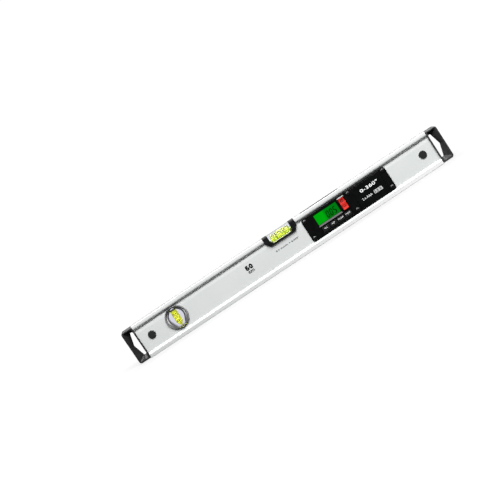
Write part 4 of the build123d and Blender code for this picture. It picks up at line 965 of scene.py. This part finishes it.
lid_low, lid_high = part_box("battery_lid")
lid_inset = 27.6 * mm
lid_x = lid_high.x - lid_inset
plate_dx = 10.9 * mm
plate_z = 23.7 * mm
plate_width = 15.4 * mm
plate_height = 5.8 * mm
plate_squareness = 0.2
plate_count = 64
plate_ink = finish("plate_ink", grey(0.33), 0.6, {"Specular IOR Level": 0.2})
tone(plate_ink, spots(plate_ink, 0.4 * mm), dark=(0.30, 0.31, 0.31), light=(0.37, 0.38, 0.38))

# Name, words, width, height, middle off the lid's own, middle over the foot, lift, how bold, and ink
lid_marks = (
    ("lid_range", "0-360°", 32.5 * mm, 5.8 * mm, 0.9 * mm, 37.0 * mm, 0.0, 0.02, white_ink),
    ("lid_cells", "2 x AAA", 18.6 * mm, 3.9 * mm, -9.8 * mm, plate_z, 0.0, 0.0, white_ink),
    ("lid_volts", "1.5 V", 12.6 * mm, 4.2 * mm, plate_dx, plate_z, ink_thickness, 0.03, black_ink),
)


def plate():
    """Flat plate on the lid: a rounded outline, whose two sides are powers of a circle's cosine and
    sine, carried from the lid's face out by the thickness of the print."""
    turn = np.linspace(0, 2 * np.pi, plate_count, endpoint=False)
    x = plate_width / 2 * np.sign(np.cos(turn)) * np.abs(np.cos(turn)) ** plate_squareness
    z = plate_height / 2 * np.sign(np.sin(turn)) * np.abs(np.sin(turn)) ** plate_squareness
    lift = np.array([0.0, ink_thickness])[:, None]
    return np.stack(
        [lid_x + plate_dx + x + 0 * lift, lid_low.y - lift + 0 * x, plate_z + z + 0 * lift], axis=2
    )


plate_points = plate()
plate_faces = tube_faces(len(plate_points), plate_count, joined=False)
settle("lid_plate", plate_points.reshape(-1, 3), plate_faces, plate_ink, "lid")
for name, words, width, height, mark_dx, mark_z, mark_lift, bold, ink in lid_marks:
    mark_place = (lid_x + mark_dx, lid_low.y - mark_lift, mark_z)
    lettering(name, words, width, height, mark_place, bold, ink, "lid")

# Display in the top face: a satin black frame, let in flush with the ground face and snapped there by
# two tabs, with a smoked lens over its panel.
frame_black = moulded(
    "frame_black",
    dark=(0.005, 0.005, 0.0055),
    light=(0.008, 0.008, 0.0085),
    patch=3 * mm,
    grain=0.4 * mm,
    height=0.01 * mm,
    roughness=0.7,
    sockets={"Specular IOR Level": 0.1},
)
dress(frame_black, "top_display_frame", "top_display_lens")

# Pale studio sweep: a round floor under the level that curves up into a wall all round, lit so that
# it reads white. It is kept out of reflections, so that the underside of the lips stays dark.
floor_radius = 5.0
sweep_radius = 3.0
wall_height = 9.0
sweep_eye = 0.02
sweep_rings = 9
sweep_spokes = 96
sweep_grey = grey(0.10)
near_glow = 0.66
far_glow = 1.0
near_reach, far_reach = 0.35, 1.6
sweep_sockets = {"Specular IOR Level": 0.0, "Emission Strength": 1.0}
sweep_pale = finish("sweep_pale", sweep_grey, 0.9, sweep_sockets)
way_out = node(sweep_pale, "ShaderNodeVectorMath", {0: place(sweep_pale)}, operation="LENGTH")
sweep_glow = ramp(
    sweep_pale,
    share(sweep_pale, way_out.outputs["Value"], near_reach, far_reach),
    [(0.0, grey(near_glow)), (1.0, grey(far_glow))],
)
feed(sweep_pale, "Emission Color", sweep_glow)


def sweep_surface():
    """Height and radius of a bowl: a flat floor, a quarter circle at its rim and a straight wall."""
    bend = np.linspace(0, np.pi / 2, sweep_rings)[1:]
    rim_radius = floor_radius + sweep_radius
    radius = np.concatenate(
        [[sweep_eye, floor_radius], floor_radius + sweep_radius * np.sin(bend), [rim_radius]]
    )
    height = np.concatenate([[0, 0], sweep_radius * (1 - np.cos(bend)), [wall_height]])
    angle = np.linspace(0, 2 * np.pi, sweep_spokes, endpoint=False)
    return np.stack(
        [
            radius[:, None] * np.cos(angle),
            radius[:, None] * np.sin(angle),
            height[:, None] + 0 * angle,
        ],
        axis=2,
    )


sweep_points = sweep_surface()
sweep_mesh = bpy.data.meshes.new("studio_sweep")
# All faces but the last, the cap that would close the top of the wall
sweep_faces = tube_faces(len(sweep_points), sweep_spokes, joined=False)[:-1]
sweep_mesh.from_pydata(sweep_points.reshape(-1, 3).tolist(), [], sweep_faces)
sweep_mesh.materials.append(sweep_pale)
sweep_mesh.polygons.foreach_set("use_smooth", np.ones(len(sweep_mesh.polygons), bool))
sweep = bpy.data.objects.new("studio_sweep", sweep_mesh)
bpy.context.scene.collection.objects.link(sweep)
sweep.visible_diffuse = False
sweep.visible_glossy = False
sweep.visible_shadow = False

# Light: a soft sky that is brightest some way over the horizon, dimmer overhead, dark below and uneven
# from side to side, and two large softboxes, a strong one above the front and a weaker one above the
# back.
sky_strength = 1.35
sky_rise = (
    (0.0, grey(0.02)),
    (0.30, grey(0.04)),
    (0.50, grey(0.15)),
    (0.70, grey(0.80)),
    (1.0, grey(0.55)),
)
sky_side = (
    (0.0, grey(0.75)),
    (0.28, grey(0.65)),
    (0.42, grey(0.45)),
    (0.52, grey(0.65)),
    (0.62, grey(1.0)),
    (1.0, grey(0.65)),
)
softboxes = (
    ("front_softbox", 132.0, Vector((0.25, -1.15, 1.75))),
    ("back_softbox", 65.0, Vector((-0.25, 1.15, 1.75))),
)
softbox_size = (2.2, 0.9)
softbox_aim = Vector((0, 0, 0.03))
world = bpy.data.worlds.new("studio_light")
bpy.context.scene.world = world
world.use_nodes = True
sky = world.node_tree.nodes["Background"]
direction = node(world, "ShaderNodeTexCoord", {}).outputs["Generated"]
parts = node(world, "ShaderNodeSeparateXYZ", {"Vector": direction}).outputs
sky_tones = overlay(
    world,
    ramp(world, share(world, parts["Z"], -1.0, 1.0), sky_rise),
    ramp(world, share(world, parts["X"], -1.0, 1.0), sky_side),
)
world.node_tree.links.new(sky_tones, sky.inputs["Color"])
sky.inputs["Strength"].default_value = sky_strength

for name, watts, softbox_place in softboxes:
    light = bpy.data.lights.new(name, "AREA")
    light.shape = "RECTANGLE"
    light.size, light.size_y = softbox_size
    light.energy = watts
    softbox = bpy.data.objects.new(name, light)
    bpy.context.scene.collection.objects.link(softbox)
    softbox.location = softbox_place
    softbox.rotation_mode = "QUATERNION"
    softbox.rotation_quaternion = (softbox_aim - softbox_place).to_track_quat("-Z", "Y")
    softbox.visible_camera = False

# Camera at the photograph's angle: in front, a little above, and rolled so that the level climbs to
# the right. The level's middle stands right of the middle of the picture and a little below it.
camera_distance = 2.0046
camera_lens = 94.1
camera_sensor = 36.0
camera_rise = math.radians(5.5)
camera_roll = math.radians(33.6)
middle_right = 75.14 * mm
middle_down = 7.1 * mm
upright = Vector((0, math.sin(camera_rise), math.cos(camera_rise)))
level_run = Vector((1, 0, 0))
picture_right = math.cos(camera_roll) * level_run - math.sin(camera_roll) * upright
picture_up = math.sin(camera_roll) * level_run + math.cos(camera_roll) * upright
backward = picture_right.cross(picture_up)
level_middle = (cad_low + cad_high) / 2
aim = level_middle - middle_right * picture_right + middle_down * picture_up
camera_data = bpy.data.cameras.new("camera")
camera_data.lens = camera_lens
camera_data.sensor_width = camera_sensor
camera = bpy.data.objects.new("camera", camera_data)
bpy.context.scene.collection.objects.link(camera)
turned = Matrix((picture_right, picture_up, backward)).transposed().to_4x4()
camera.matrix_world = Matrix.Translation(aim + camera_distance * backward) @ turned
bpy.context.scene.camera = camera
bpy.context.scene.view_settings.view_transform = "Standard"
